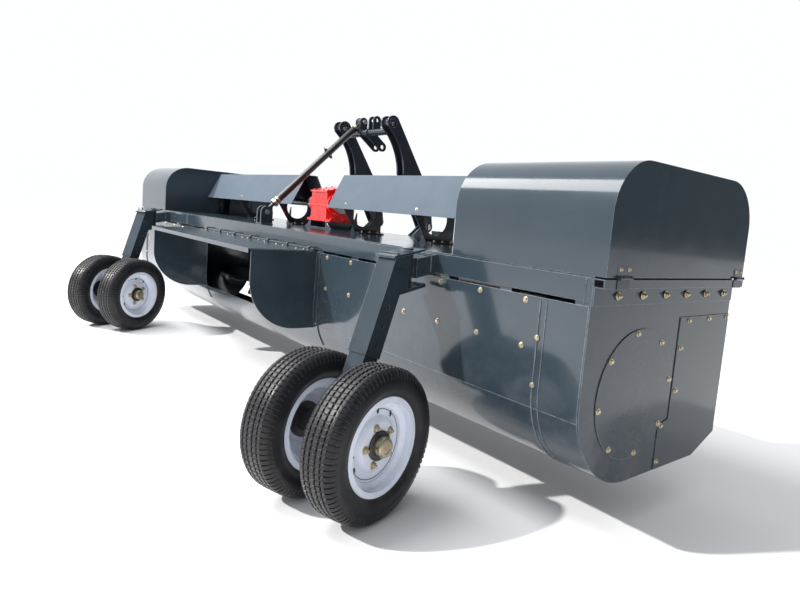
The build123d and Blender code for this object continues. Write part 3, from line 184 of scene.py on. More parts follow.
def make_floor():
    bpy.ops.mesh.primitive_plane_add(size=FLOOR_SIZE, location=(0, 0, -FLOOR_DROP))
    floor = bpy.context.object
    floor.name = "floor"
    material = bpy.data.materials.new("floor")
    material.use_nodes = True
    shader = material.node_tree.nodes["Principled BSDF"]
    shader.inputs["Base Color"].default_value = FLOOR_COLOUR
    shader.inputs["Roughness"].default_value = FLOOR_ROUGHNESS
    floor.data.materials.append(material)


# Nodes of materials
def add(tree, kind, **settings):
    """A node with its settings; a value with an upper-case first letter is an input."""
    node = tree.nodes.new(kind)
    for key, value in settings.items():
        if key[0].isupper():
            node.inputs[key.replace("_", " ")].default_value = value
        else:
            setattr(node, key, value)
    return node


def noise(tree, scale, detail, roughness=0.5):
    """Noise over the piece's own coordinates."""
    coords = add(tree, "ShaderNodeTexCoord")
    node = add(tree, "ShaderNodeTexNoise", Scale=scale, Detail=detail, Roughness=roughness)
    tree.links.new(coords.outputs["Object"], node.inputs["Vector"])
    return node.outputs["Fac"]


def remap(tree, source, given, wanted):
    """A value carried from one range to another, each as (start, end), and held at its ends."""
    node = add(tree, "ShaderNodeMapRange")
    for name, (start, end) in (("From", given), ("To", wanted)):
        node.inputs[name + " Min"].default_value = start
        node.inputs[name + " Max"].default_value = end
    tree.links.new(source, node.inputs["Value"])
    return node.outputs["Result"]


def mix(tree, factor, first, second):
    """Colours mixed by a socket; each colour is a socket or three numbers."""
    node = add(tree, "ShaderNodeMix", data_type="RGBA")
    tree.links.new(factor, node.inputs["Factor"])
    for socket, colour in ((MIX_FIRST, first), (MIX_SECOND, second)):
        if isinstance(colour, tuple):
            node.inputs[socket].default_value = (*colour, 1.0)
        else:
            tree.links.new(colour, node.inputs[socket])
    return node.outputs[MIX_RESULT]


def multiply(tree, first, second):
    """Product of a socket with another socket or a number."""
    node = add(tree, "ShaderNodeMath", operation="MULTIPLY")
    tree.links.new(first, node.inputs[0])
    if isinstance(second, float):
        node.inputs[1].default_value = second
    else:
        tree.links.new(second, node.inputs[1])
    return node.outputs[0]


def edge_mask(tree, radius):
    """One along the outer edges of sheet and castings, nothing on flat faces; and the rounded normal."""
    rounded = add(tree, "ShaderNodeBevel", samples=EDGE_SAMPLES, Radius=radius)
    flat = add(tree, "ShaderNodeNewGeometry")
    dot = add(tree, "ShaderNodeVectorMath", operation="DOT_PRODUCT")
    tree.links.new(rounded.outputs["Normal"], dot.inputs[0])
    tree.links.new(flat.outputs["Normal"], dot.inputs[1])
    mask = remap(tree, dot.outputs["Value"], EDGE_WEAR_AND_HIGHLIGHT, (0.0, 1.0))
    return mask, rounded.outputs["Normal"]


def height_mask(tree, height):
    """One at the ground, fading to nothing at a height."""
    geometry = add(tree, "ShaderNodeNewGeometry")
    split = add(tree, "ShaderNodeSeparateXYZ")
    tree.links.new(geometry.outputs["Position"], split.inputs[0])
    return remap(tree, split.outputs["Z"], (0.0, height), (1.0, 0.0))


# Materials
def finish_material(name, colour, other, worn_and_lit_edge, roughness, metallic=0.0, specular=0.35, coat=0.0,
                    coat_roughness=0.04, drift=1.6, grain=420.0, bump=0.05, edge=0.003, edge_amount=0.8,
                    dust=0.12):
    """A sprayed, cast or rubber surface with drift of colour, edges lightened by rubbing and by a painted
    highlight, dust low down and a fine grain.
    """
    material = bpy.data.materials.new(name)
    material.use_nodes = True
    tree = material.node_tree
    shader = tree.nodes["Principled BSDF"]
    shader.inputs["Metallic"].default_value = metallic
    shader.inputs["Specular IOR Level"].default_value = specular
    shader.inputs["Coat Weight"].default_value = coat
    shader.inputs["Coat Roughness"].default_value = coat_roughness

    clouds = remap(tree, noise(tree, scale=drift, **CLOUDS), CLOUD_RANGE, (0.0, 1.0))
    base = mix(tree, clouds, colour, other)

    edges, normal = edge_mask(tree, edge)
    chips = remap(tree, noise(tree, **CHIPS), CHIP_RANGE, CHIP_AMOUNT)
    # Lighter colour along the edges: partly rubbed paint, partly a painted highlight where edges catch the
    # light
    wear_and_highlight = multiply(tree, multiply(tree, edges, chips), edge_amount)
    base = mix(tree, wear_and_highlight, base, worn_and_lit_edge)

    specks = remap(tree, noise(tree, **SPECKS), SPECK_RANGE, (0.0, dust))
    settled = multiply(tree, specks, height_mask(tree, DUST_HEIGHT))
    base = mix(tree, settled, base, DUST_COLOUR)
    tree.links.new(base, shader.inputs["Base Color"])

    smears = [share * roughness for share in SMEAR_SHARES]
    sheen = remap(tree, noise(tree, **SMEARS), SMEAR_RANGE, smears)
    tree.links.new(sheen, shader.inputs["Roughness"])

    skin = add(tree, "ShaderNodeBump", Strength=bump, Distance=GRAIN_DEPTH)
    tree.links.new(noise(tree, scale=grain, **GRAIN), skin.inputs["Height"])
    tree.links.new(normal, skin.inputs["Normal"])
    tree.links.new(skin.outputs["Normal"], shader.inputs["Normal"])
    return material


def make_materials():
    """Finishes by plain name, each with its colour, the colour it drifts to and the lighter colour of its
    edges, which is rubbed paint and a painted highlight.
    """
    return {
        "paint": finish_material(
            "slate_enamel", colour=(0.019, 0.030, 0.040), other=(0.025, 0.038, 0.049),
            worn_and_lit_edge=(0.34, 0.38, 0.42), roughness=0.13, coat=0.28, coat_roughness=0.05, bump=0.03),
        # A darker copy of the slate enamel: painted shade for parts that look darker because they stand in
        # shadow, such as the plates inside the shaft guards
        "dark": finish_material(
            "painted_shade_enamel", colour=(0.011, 0.016, 0.024), other=(0.016, 0.022, 0.032),
            worn_and_lit_edge=(0.14, 0.16, 0.19), roughness=0.20, coat=0.25, bump=0.04),
        "guard": finish_material(
            "pale_slate_enamel", colour=(0.072, 0.092, 0.116), other=(0.083, 0.105, 0.131),
            worn_and_lit_edge=(0.30, 0.34, 0.39), roughness=0.50, specular=0.06, bump=0.02),
        "red": finish_material(
            "red_enamel", colour=(0.80, 0.010, 0.010), other=(0.88, 0.018, 0.014),
            worn_and_lit_edge=(0.85, 0.10, 0.08), roughness=0.26, coat=0.4, bump=0.05, grain=160.0),
        "tyre": finish_material(
            "tyre_rubber", colour=(0.0045, 0.0052, 0.0075), other=(0.0075, 0.0085, 0.0115),
            worn_and_lit_edge=(0.13, 0.122, 0.110), roughness=0.36, specular=0.30, bump=0.18, grain=260.0,
            edge=0.0020, dust=0.08),
        "rim": finish_material(
            "rim_enamel", colour=(0.68, 0.73, 0.84), other=(0.74, 0.78, 0.88),
            worn_and_lit_edge=(0.75, 0.77, 0.80), roughness=0.24, coat=0.45, bump=0.05, dust=0.12),
        "black": finish_material(
            "black_enamel", colour=(0.010, 0.010, 0.011), other=(0.018, 0.018, 0.019),
            worn_and_lit_edge=(0.10, 0.10, 0.10), roughness=0.30, coat=0.3, bump=0.08),
        # Flat near-black colour for the tube mouths: painted shade
        "tube_mouth_shade": finish_material(
            "shaded_opening", colour=(0.002, 0.002, 0.003), other=(0.003, 0.003, 0.004),
            worn_and_lit_edge=(0.004, 0.004, 0.005), roughness=0.9, specular=0.05, bump=0.0),
        "steel": finish_material(
            "bright_steel", colour=(0.46, 0.47, 0.48), other=(0.56, 0.57, 0.58),
            worn_and_lit_edge=(0.72, 0.72, 0.72), roughness=0.28, metallic=1.0, bump=0.06, grain=300.0),
        "brass": finish_material(
            "yellow_zinc", colour=(0.40, 0.34, 0.22), other=(0.54, 0.48, 0.35),
            worn_and_lit_edge=(0.85, 0.80, 0.66), roughness=0.27, metallic=1.0, drift=22.0, bump=0.08, edge=0.001),
    }


# Finish of the frame's nodes by the start of their names, where it isn't the paint; the last match counts
# The "dark" finish is painted shade: a darker copy of the slate enamel for parts in shadow, such as the
# shaft plates
NODE_FINISH = {"tyres": "tyre", "rims": "rim", "hubs": "black", "gearbox": "red", "hitch_pins": "steel",
               "input_shaft": "steel", "drive_shaft": "steel", "mast_brace": "black", "rotor": "dark",
               "auger": "dark", "mast_arms": "dark", "mast_cross": "dark", "shaft_plates": "dark",
               "hood_hinges": "dark", "shaft_shields": "guard", "gearbox_stand": "paint"}


def dress_nodes(materials):
    """Each node of the frame takes its finish."""
    for name, node in frame["nodes"].items():
        key = "paint"
        for start, finish in NODE_FINISH.items():
            if name.startswith(start):
                key = finish
        node.data.materials.clear()
        node.data.materials.append(materials[key])


# Mesh helpers
class Joined:
    """Points and faces of many small forms, gathered for one mesh."""

    def __init__(self):
        self.points = []
        self.faces = []

    def put(self, points, faces, basis):
        start = len(self.points)
        self.points += [basis @ Vector(p) for p in points]
        self.faces += [tuple(start + i for i in face) for face in faces]


def emit(group, name, material, body, flat_angle=32.0):
    """One smooth mesh of a group's forms that rides on a body; edges over the flat angle stay sharp."""
    mesh = bpy.data.meshes.new(name)
    mesh.from_pydata([tuple(p) for p in group.points], [], group.faces)
    mesh.update()
    build = bmesh.new()
    build.from_mesh(mesh)
    bmesh.ops.recalc_face_normals(build, faces=build.faces)
    for edge in build.edges:
        bend = edge.calc_face_angle(0.0) if len(edge.link_faces) == 2 else math.pi
        edge.smooth = bend < math.radians(flat_angle)
    for face in build.faces:
        face.smooth = True
    build.to_mesh(mesh)
    build.free()
    mesh.materials.append(material)
    piece = link_object(name, mesh)
    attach(piece, body)
    return piece


def on_ring(radius, angle):
    """The two coordinates of a place on a ring."""
    return radius * math.cos(angle), radius * math.sin(angle)


def ring_faces(rings, count, start=0):
    """Quads between neighbouring rings of points, the first of which has the index start."""
    faces = []
    for low in range(start, start + (rings - 1) * count, count):
        for i in range(count):
            j = (i + 1) % count
            faces.append((low + i, low + j, low + count + j, low + count + i))
    return faces


def turned(profile, count, capped=True):
    """A turned form about Z from (radius, height) points, with flat caps at its ends."""
    points = []
    for radius, height in profile:
        for i in range(count):
            points.append((*on_ring(radius, 2 * math.pi * i / count), height))
    faces = ring_faces(len(profile), count)
    if capped:
        last = (len(profile) - 1) * count
        faces.append(tuple(reversed(range(count))))
        faces.append(tuple(range(last, last + count)))
    return points, faces


def facing(spot, normal, spin=0.0):
    """Basis with Z along the normal, at a spot."""
    turn = Vector(normal).to_track_quat("Z", "X").to_matrix().to_4x4()
    return Matrix.Translation(spot) @ turn @ Matrix.Rotation(spin, 4, "Z")


# A bolt as shares of its head's corner radius: (radius, height)
WASHER_SHARES = ((1.45, 0.10), (1.36, 0.20), (0.90, 0.20))
HEAD_SHARES = ((1.0, 0.15), (1.0, 0.80), (0.86, 0.95), (0.30, 1.0))
STUD_SHARE = 0.52
STUD_TIP_SHARE = 0.34
STUD_START_SHARE = 0.9
STUD_STRAIGHT_SHARE = 0.7
BOLT_SINK = 0.001
BOLT_SIZE = 0.0085
WASHER_FACETS = 16
HEAD_SIDES = 6
STUD_FACETS = 12


def scaled(shares, size):
    return [(radius * size, height * size) for radius, height in shares]


def add_bolt(group, spot, normal, size=BOLT_SIZE, stud=0.0, spin=0.4):
    """Washer, chamfered hexagon head and, where a stud shows, its tapered end."""
    basis = facing(spot, normal, spin)
    washer = [(size * WASHER_SHARES[0][0], -BOLT_SINK)] + scaled(WASHER_SHARES, size)
    group.put(*turned(washer, WASHER_FACETS), basis)
    group.put(*turned(scaled(HEAD_SHARES, size), HEAD_SIDES), basis)
    if stud:
        end = [(size * STUD_SHARE, size * STUD_START_SHARE),
               (size * STUD_SHARE, size + stud * STUD_STRAIGHT_SHARE),
               (size * STUD_TIP_SHARE, size + stud)]
        group.put(*turned(end, STUD_FACETS), basis)


def add_tube(group, path, radius, count, ripple=0.0):
    """A tube along points; with a ripple it reads as a weld bead."""
    start = len(group.points)
    rings = len(path)
    for n, spot in enumerate(path):
        ahead = (path[min(n + 1, rings - 1)] - path[max(n - 1, 0)]).normalized()
        side = (side - ahead * side.dot(ahead)).normalized() if n else ahead.orthogonal().normalized()
        rise = ahead.cross(side)
        reach = radius * (1.0 + ripple * (1 if n % 2 else -1))
        for i in range(count):
            across, up = on_ring(reach, 2 * math.pi * i / count)
            group.points.append(spot + side * across + rise * up)
    last = start + (rings - 1) * count
    group.faces += ring_faces(rings, count, start)
    group.faces.append(tuple(start + i for i in reversed(range(count))))
    group.faces.append(tuple(last + i for i in range(count)))


def straight(first, last, step):
    """Evenly spaced points from first to last."""
    count = max(2, int((last - first).length / step))
    return [first.lerp(last, i / count) for i in range(count + 1)]


# Tyres: half the spacing of the twins, and how the tread is cut
TWIN_HALF = 0.161
TREAD_BLOCKS = 84
TREAD_CUTS = {"block": 0.0065, "nick": 0.0040}
# Corners of one slot and one block, as shares of their pitch round the tyre; the first two lie in the slot
PITCH_SHARES = (0.0, 0.24, 0.29, 0.95)
SLOT_CORNERS = 2
TREAD_FLAT_ANGLE = 28.0
# Half section of a tyre, from the crown to the bead: (distance from the middle plane, radius, kind)
TYRE_HALF = (
    (0.0, 0.2974, "rib"), (0.0085, 0.2973, "nick"),
    (0.0115, 0.2908, "groove"), (0.0165, 0.2908, "groove"),
    (0.0195, 0.2972, "nick"), (0.0330, 0.2968, "nick"),
    (0.0355, 0.2905, "groove"), (0.0405, 0.2903, "groove"),
    (0.0430, 0.2962, "nick"), (0.0535, 0.2954, "rib"),
    (0.0545, 0.2948, "block"), (0.0640, 0.2892, "block"), (0.0712, 0.2820, "block"),
    (0.0762, 0.2730, "block"), (0.0785, 0.2650, "block"), (0.0792, 0.2625, "block"),
    (0.0798, 0.2610, "wall"), (0.0806, 0.2590, "wall"), (0.0818, 0.2520, "wall"),
    (0.0826, 0.2500, "wall"), (0.0822, 0.2400, "wall"), (0.0812, 0.2270, "wall"),
    (0.0785, 0.2150, "wall"), (0.0775, 0.2128, "wall"), (0.0740, 0.2040, "wall"),
    (0.0700, 0.1975, "wall"), (0.0690, 0.1925, "wall"), (0.0620, 0.1905, "wall"),
    (0.0600, 0.1750, "wall"),
)


def wheel_basis(name):
    """Place of the wheel's axis midway between the twins, with Z along the axle."""
    joint = JOINTS["wheel_spin_" + name]
    return facing(Vector(joint["pos_m"]), joint["axis"])


def make_tyres(name, materials):
    """Two tyres with nicked ribs, grooves and shoulder blocks cut by narrow slots."""
    section = [(-offset, radius, kind) for offset, radius, kind in reversed(TYRE_HALF)]
    section += TYRE_HALF[1:]
    corners = len(PITCH_SHARES)
    steps = TREAD_BLOCKS * corners
    group = Joined()
    for side in SIDES:
        points = []
        for offset, radius, kind in section:
            for i in range(steps):
                block, corner = divmod(i, corners)
                angle = 2 * math.pi * (block + PITCH_SHARES[corner]) / TREAD_BLOCKS
                cut = TREAD_CUTS.get(kind, 0.0) if corner < SLOT_CORNERS else 0.0
                points.append((*on_ring(radius - cut, angle), offset + side * TWIN_HALF))
        faces = ring_faces(len(section), steps)
        last = (len(section) - 1) * steps
        for i in range(steps):
            j = (i + 1) % steps
            faces.append((last + i, last + j, j, i))
        group.put(points, faces, wheel_basis(name))
    piece = emit(group, "tyre_pair_" + name, materials["tyre"], "wheels_" + name,
                 flat_angle=TREAD_FLAT_ANGLE)
    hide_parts("tyres_" + name)


# Fittings on the outer face of each wheel: how far they stand from the middle between the twins,
# where they stand on the disc, their profiles as (radius, height) and the facets round them
DISC_FACE = TWIN_HALF + 0.041
WHEEL_BOLTS = 5
WHEEL_BOLT_RING = 0.074
WHEEL_BOLT_START = 0.3
WHEEL_BOLT_SIZE = 0.0115
WHEEL_BOLT_STUD = 0.008
HUB_CAP_FACE = TWIN_HALF + 0.0785
HUB_CAP = ((0.0390, -0.028), (0.0390, -0.008), (0.0375, -0.002), (0.0340, 0.0010), (0.0335, 0.0035),
           (0.0230, 0.0045), (0.0225, 0.0020), (0.006, 0.0020))
HUB_CAP_FACETS = 40
DRUM_FACE = DISC_FACE - 0.0045
DRUM = ((0.0570, 0.0), (0.0570, 0.0125), (0.0540, 0.0140), (0.0500, 0.0145))
DRUM_FACETS = 48
# Dark ovals at the slots of the discs: painted shade in place of the shade inside the slots
DISC_SLOT_FACE = TWIN_HALF + 0.0220
DISC_SLOT_RING = 0.128
DISC_SLOT_ANGLES = (2.18, 5.6, 6.25)
DISC_SLOT_SHADE = ((0.0066, -0.001), (0.0066, 0.0006), (0.005, 0.001))
DISC_SLOT_STRETCH = (1.9, 0.9, 1.0, 1.0)
DISC_SLOT_FACETS = 20
VALVE_FACE = TWIN_HALF + 0.026
VALVE_RING = 0.151
VALVE = ((0.0042, 0.0), (0.0042, 0.018), (0.0050, 0.019), (0.0050, 0.028), (0.0035, 0.030))
VALVE_FACETS = 14
DISC_EDGE_FACE = TWIN_HALF + 0.0212
DISC_EDGE = ((0.1345, -0.0008), (0.1345, 0.0010), (0.1318, 0.0010), (0.1318, -0.0008))
DISC_EDGE_FACETS = 96


def on_wheel(basis, side, face, radius=0.0, angle=0.0):
    """Basis on the outer side of a wheel, with Z pointing out."""
    spot = basis @ Vector((*on_ring(radius, angle), side * face))
    return facing(spot, basis.to_3x3() @ Vector((0, 0, side)))


def make_wheel_fittings(name, materials):
    """Wheel bolts, hub caps, drums, dark edges of the discs, and valves; and dark ovals at the discs' slots,
    which are painted shade.
    """
    basis = wheel_basis(name)
    out = basis.to_3x3() @ Vector((0, 0, 1))
    brass, black = Joined(), Joined()
    for side in SIDES:
        for i in range(WHEEL_BOLTS):
            angle = 2 * math.pi * i / WHEEL_BOLTS + WHEEL_BOLT_START
            seat = on_wheel(basis, side, DISC_FACE, WHEEL_BOLT_RING, angle)
            add_bolt(brass, seat.translation, out * side, WHEEL_BOLT_SIZE, WHEEL_BOLT_STUD)
        brass.put(*turned(HUB_CAP, HUB_CAP_FACETS), on_wheel(basis, side, HUB_CAP_FACE))
        black.put(*turned(DRUM, DRUM_FACETS), on_wheel(basis, side, DRUM_FACE))
        # Painted shade: a dark oval at each slot of the disc
        for angle in DISC_SLOT_ANGLES:
            seat = on_wheel(basis, side, DISC_SLOT_FACE, DISC_SLOT_RING, angle)
            oval = seat @ Matrix.Diagonal(DISC_SLOT_STRETCH)
            black.put(*turned(DISC_SLOT_SHADE, DISC_SLOT_FACETS), oval)
        seat = on_wheel(basis, side, VALVE_FACE, VALVE_RING, math.pi / 2)
        black.put(*turned(VALVE, VALVE_FACETS), seat)
        edge = turned(DISC_EDGE, DISC_EDGE_FACETS, capped=False)
        black.put(*edge, on_wheel(basis, side, DISC_EDGE_FACE))
    emit(brass, "wheel_bolts_" + name, materials["brass"], "wheels_" + name)
    emit(black, "dark_fittings_and_slot_shade_" + name, materials["black"], "wheels_" + name)


# The body's faces, and the round trough on the auger's axis
HALF_LENGTH = 2.75
END_FACE = 2.7543
BEAM_REAR_Y = -0.036
BEAM_TOP = 1.001
BEAM_LOW = 0.904
DECK_TOP = 1.0073
TROUGH_Y = 0.344
TROUGH_Z = 0.559
TROUGH_RADIUS = 0.344

# Bolts on the body. A spin turns each head by its place in the row, so that no two stand alike.
WALL_BOLT_XS = (0.990, 1.235, 1.480, 1.723, 1.970, 2.216, 2.461)
WALL_BOLT_ZS = (0.883, 0.711)
WALL_BOLT_SPIN = 7
SEAM_X = 2.535
SEAM_BOLT_ZS = (0.754, 0.577)
SEAM_BOLT_PROUD = 0.003
SMALL_BOLT_SIZE = 0.0075
# Ring of bolts round the trough's end cover
RING_BOLTS = 8
RING_BOLT_START = math.radians(37)
RING_BOLT_RADIUS = 0.238
RING_BOLT_SPIN = 1.1
# Bolts of the front covers, as (y, z)
COVER_BOLTS = ((0.686, 0.828), (0.860, 0.829), (1.020, 0.830), (0.642, 0.716), (0.642, 0.537),
               (0.5595, 0.400), (0.5595, 0.250))
COVER_BOLT_SPIN = 9
STRIP_BOLT_YS = (0.138, 0.298, 0.459, 0.619, 0.780, 0.941)
STRIP_BOLT_Z = 0.940
STRIP_PROUD = 0.008
STRIP_BOLT_SIZE = 0.0105
STRIP_BOLT_STUD = 0.006
STRIP_BOLT_SPIN = 5


def make_body_bolts(materials):
    """Yellow zinc bolts on the rear wall, the end covers and the bolting strips."""
    wall, ends = Joined(), Joined()
    back = (0, -1, 0)
    for side in SIDES:
        for x in WALL_BOLT_XS:
            for z in WALL_BOLT_ZS:
                add_bolt(wall, place(side * x, 0.0, z), back, spin=x * WALL_BOLT_SPIN)
        for z in SEAM_BOLT_ZS:
            spot = place(side * SEAM_X, -SEAM_BOLT_PROUD, z)
            add_bolt(wall, spot, back, size=SMALL_BOLT_SIZE, spin=z)
        out = (side, 0, 0)
        for i in range(RING_BOLTS):
            back_by, up_by = on_ring(RING_BOLT_RADIUS, RING_BOLT_START + 2 * math.pi * i / RING_BOLTS)
            spot = place(side * END_FACE, TROUGH_Y - back_by, TROUGH_Z + up_by)
            add_bolt(ends, spot, out, spin=i * RING_BOLT_SPIN)
        for y, z in COVER_BOLTS:
            add_bolt(ends, place(side * END_FACE, y, z), out, spin=y * COVER_BOLT_SPIN)
        for y in STRIP_BOLT_YS:
            spot = place(side * (END_FACE + STRIP_PROUD), y, STRIP_BOLT_Z)
            add_bolt(ends, spot, out, STRIP_BOLT_SIZE, STRIP_BOLT_STUD, y * STRIP_BOLT_SPIN)
    emit(wall, "wall_bolts", materials["brass"], "frame")
    emit(ends, "end_bolts", materials["brass"], "frame")


# Folded seam of the wall's end panels: a straight run, then steps of an arc under the trough
SEAM_TOP = 0.888
SEAM_PROUD = 0.001
SEAM_STEP = 0.05
SEAM_ARC_STEPS = 14
SEAM_ARC_STEP = math.radians(6)
# Two ridges of the seam: (distance outwards, radius)
SEAM_RIDGES = ((0.0, 0.0028), (0.030, 0.0020))
SEAM_FACETS = 6


def make_seams(materials):
    """Folded seams where the wall's end panels overlap, down and round under the trough."""
    group = Joined()
    reach = TROUGH_RADIUS + SEAM_PROUD
    for side in SIDES:
        for outwards, radius in SEAM_RIDGES:
            x = side * (SEAM_X + outwards)
            path = straight(place(x, -SEAM_PROUD, SEAM_TOP), place(x, -SEAM_PROUD, TROUGH_Z), SEAM_STEP)
            for i in range(SEAM_ARC_STEPS):
                back_by, down_by = on_ring(reach, (i + 1) * SEAM_ARC_STEP)
                path.append(place(x, TROUGH_Y - back_by, TROUGH_Z - down_by))
            add_tube(group, path, radius, SEAM_FACETS)
    emit(group, "wall_seams", materials["paint"], "frame")


# Gearbox: rear and front corner of its sloping lid as (y, z), flange, bearing caps and breather
LID_REAR = (0.470, 1.268)
LID_FRONT = (0.640, 1.308)
LID_SHEET = 0.0117
LID_BOLT_X = 0.100
LID_BOLT_SHARES = (0.09, 0.36, 0.63, 0.90)
LID_REAR_BOLT_XS = (-0.034, 0.034)
LID_FLAT_BOLT_Y = 0.680
LID_BOLT_SIZE = 0.0065
FLANGE_BOLT_X = 0.148
FLANGE_BOLT_YS = (0.490, 0.585, 0.680)
FLANGE_TOP = 1.076
FLANGE_BOLT_SIZE = 0.008
FLANGE_BOLT_STUD = 0.006
CAP_FACE = 0.134
CAP_BOLTS = 6
CAP_BOLT_RING = 0.067
CAP_BOLT_START = 0.2
CAP_BOLT_SIZE = 0.0062
BREATHER_PLACE = (0.045, 0.670)
BREATHER = ((0.012, -0.002), (0.012, 0.008), (0.008, 0.009), (0.008, 0.016), (0.013, 0.018),
            (0.013, 0.030), (0.009, 0.034))
BREATHER_FACETS = 20
# Axis of the drive shafts
DRIVE_Y = 0.545
DRIVE_Z = 1.185


def make_gearbox_fittings(materials):
    """Bolts round the sloping lid, the base flange and the bearing caps, and a breather."""
    bolts = Joined()
    upward = (0, 0, 1)
    lid_top = LID_FRONT[1] + LID_SHEET
    slope = Vector((0.0, LID_FRONT[0] - LID_REAR[0], LID_FRONT[1] - LID_REAR[1]))
    normal = Vector((0.0, -slope.z, slope.y)).normalized()
    start = place(0, *LID_REAR) + normal * LID_SHEET
    for side in SIDES:
        for share in LID_BOLT_SHARES:
            spot = start + slope * share + Vector((side * LID_BOLT_X, 0, 0))
            add_bolt(bolts, spot, normal, size=LID_BOLT_SIZE, spin=share)
        add_bolt(bolts, place(side * LID_BOLT_X, LID_FLAT_BOLT_Y, lid_top), upward, size=LID_BOLT_SIZE)
        for y in FLANGE_BOLT_YS:
            spot = place(side * FLANGE_BOLT_X, y, FLANGE_TOP)
            add_bolt(bolts, spot, upward, FLANGE_BOLT_SIZE, FLANGE_BOLT_STUD)
        for i in range(CAP_BOLTS):
            angle = 2 * math.pi * i / CAP_BOLTS + CAP_BOLT_START
            front_by, up_by = on_ring(CAP_BOLT_RING, angle)
            spot = place(side * CAP_FACE, DRIVE_Y + front_by, DRIVE_Z + up_by)
            add_bolt(bolts, spot, (side, 0, 0), size=CAP_BOLT_SIZE, spin=angle)
    for x in LID_REAR_BOLT_XS:
        spot = start + slope * LID_BOLT_SHARES[0] + Vector((x, 0, 0))
        add_bolt(bolts, spot, normal, size=LID_BOLT_SIZE)
    bolts.put(*turned(BREATHER, BREATHER_FACETS), facing(place(*BREATHER_PLACE, lid_top), upward))
    emit(bolts, "gearbox_bolts", materials["red"], "frame")


# Guards over the drive shafts: half their width at the foot and at the top, and their bolts
SHIELD_FOOT_HALF = 0.160
SHIELD_TOP_HALF = 0.045
SHIELD_FOOT_Z = 1.160
SHIELD_TOP_Z = 1.390
SHIELD_BOLT_SHARE = 0.14
SHIELD_BOLT_SINK = 0.0005
# Plates that carry the guards, and the bolts of their feet
PLATE_XS = (0.480, 1.240)
PLATE_FOOT_TOP = DECK_TOP + 0.0083
PLATE_BOLT_ASIDE = 0.040
PLATE_BOLT_YS = (0.515, 0.575, 0.640)
PLATE_BOLT_STUD = 0.005


def make_guard_bolts(materials):
    """Bolts that hold the guards of the shafts on their plates, and bolts of the plates' feet."""
    bolts = Joined()
    inward, rise = SHIELD_FOOT_HALF - SHIELD_TOP_HALF, SHIELD_TOP_Z - SHIELD_FOOT_Z
    half = SHIELD_FOOT_HALF - inward * SHIELD_BOLT_SHARE
    for side in SIDES:
        for x in PLATE_XS:
            for face in (-1, 1):
                normal = Vector((0.0, face * rise, inward)).normalized()
                spot = place(side * x, DRIVE_Y + face * half, SHIELD_FOOT_Z + rise * SHIELD_BOLT_SHARE)
                add_bolt(bolts, spot - normal * SHIELD_BOLT_SINK, normal, size=SMALL_BOLT_SIZE)
            for y in PLATE_BOLT_YS:
                spot = place(side * x + PLATE_BOLT_ASIDE, y, PLATE_FOOT_TOP)
                add_bolt(bolts, spot, (0, 0, 1), SMALL_BOLT_SIZE, PLATE_BOLT_STUD)
    emit(bolts, "guard_bolts", materials["brass"], "frame")


# Brace of the mast: its ends as (y, z), and its fittings with their places along it
BRACE_X = -0.090
BRACE_FOOT = (0.106, 1.092)
BRACE_TOP = (0.835, 1.825)
BRACE_NUT_START = 0.086
BRACE_NUT = ((0.0285, 0.0), (0.0305, 0.002), (0.0305, 0.022), (0.0285, 0.024))
COLLAR = ((0.0250, 0.0), (0.0262, 0.001), (0.0262, 0.016), (0.0250, 0.017))
COLLAR_FROM_FOOT = 0.118
COLLAR_FROM_TOP = 0.082
CLAMP = ((0.0242, 0.0), (0.0272, 0.001), (0.0272, 0.026), (0.0242, 0.027))
TUBE_FACETS = 32
CLAMP_SHARE = 0.62
CLAMP_MIDDLE = 0.013
CLAMP_LUG = ((0.011, 0.0), (0.011, 0.016), (0.009, 0.018))
CLAMP_LUG_START = 0.022
CLAMP_BOLT_START = 0.0395
CLAMP_BOLT_SIZE = 0.0062
CLAMP_BOLT_STUD = 0.008


def make_brace_fittings(materials):
    """Yellow zinc nut and collars of the brace, and the clamp on its tube."""
    foot, top = place(BRACE_X, *BRACE_FOOT), place(BRACE_X, *BRACE_TOP)
    along = (top - foot).normalized()
    length = (top - foot).length
    yellow, black = Joined(), Joined()
    yellow.put(*turned(BRACE_NUT, HEAD_SIDES), facing(foot + along * BRACE_NUT_START, along))
    for distance in (COLLAR_FROM_FOOT, length - COLLAR_FROM_TOP):
        yellow.put(*turned(COLLAR, TUBE_FACETS), facing(foot + along * distance, along))
    clamp = foot + along * (length * CLAMP_SHARE)
    black.put(*turned(CLAMP, TUBE_FACETS), facing(clamp, along))
    middle = clamp + along * CLAMP_MIDDLE
    for face in (-1, 1):
        out = Vector((0, -along.z, along.y)) * face
        black.put(*turned(CLAMP_LUG, STUD_FACETS), facing(middle + out * CLAMP_LUG_START, out))
        add_bolt(yellow, middle + out * CLAMP_BOLT_START, out, CLAMP_BOLT_SIZE, CLAMP_BOLT_STUD)
    emit(yellow, "brace_nuts", materials["brass"], "frame")
    emit(black, "brace_clamp", materials["black"], "frame")


# Weld beads: the step between their ripples, how much they ripple, their radii and their places
WELD_STEP = 0.004
WELD_RIPPLE = 0.16
WELD_FACETS = 8
BEAM_WELD_RADIUS = 0.0032
BEAM_WELD_INSET = 0.0015
BEAM_WELD_PROUD = 0.0005
BEAM_WELD_FROM = BEAM_LOW + 0.004
BEAM_WELD_TO = BEAM_TOP - 0.003
ARM_X = 1.89
ARM_WELD_RADIUS = 0.0034
ARM_WELD_PROUD = 0.001
ARM_WELD_ASIDE = 0.0475
ARM_WELD_HALF = 0.045
ARM_WELD_ZS = (0.923, 0.994)
PLATE_WELD_RADIUS = 0.0028
PLATE_WELD_ASIDE = 0.0045
PLATE_WELD_YS = (0.495, 0.685)


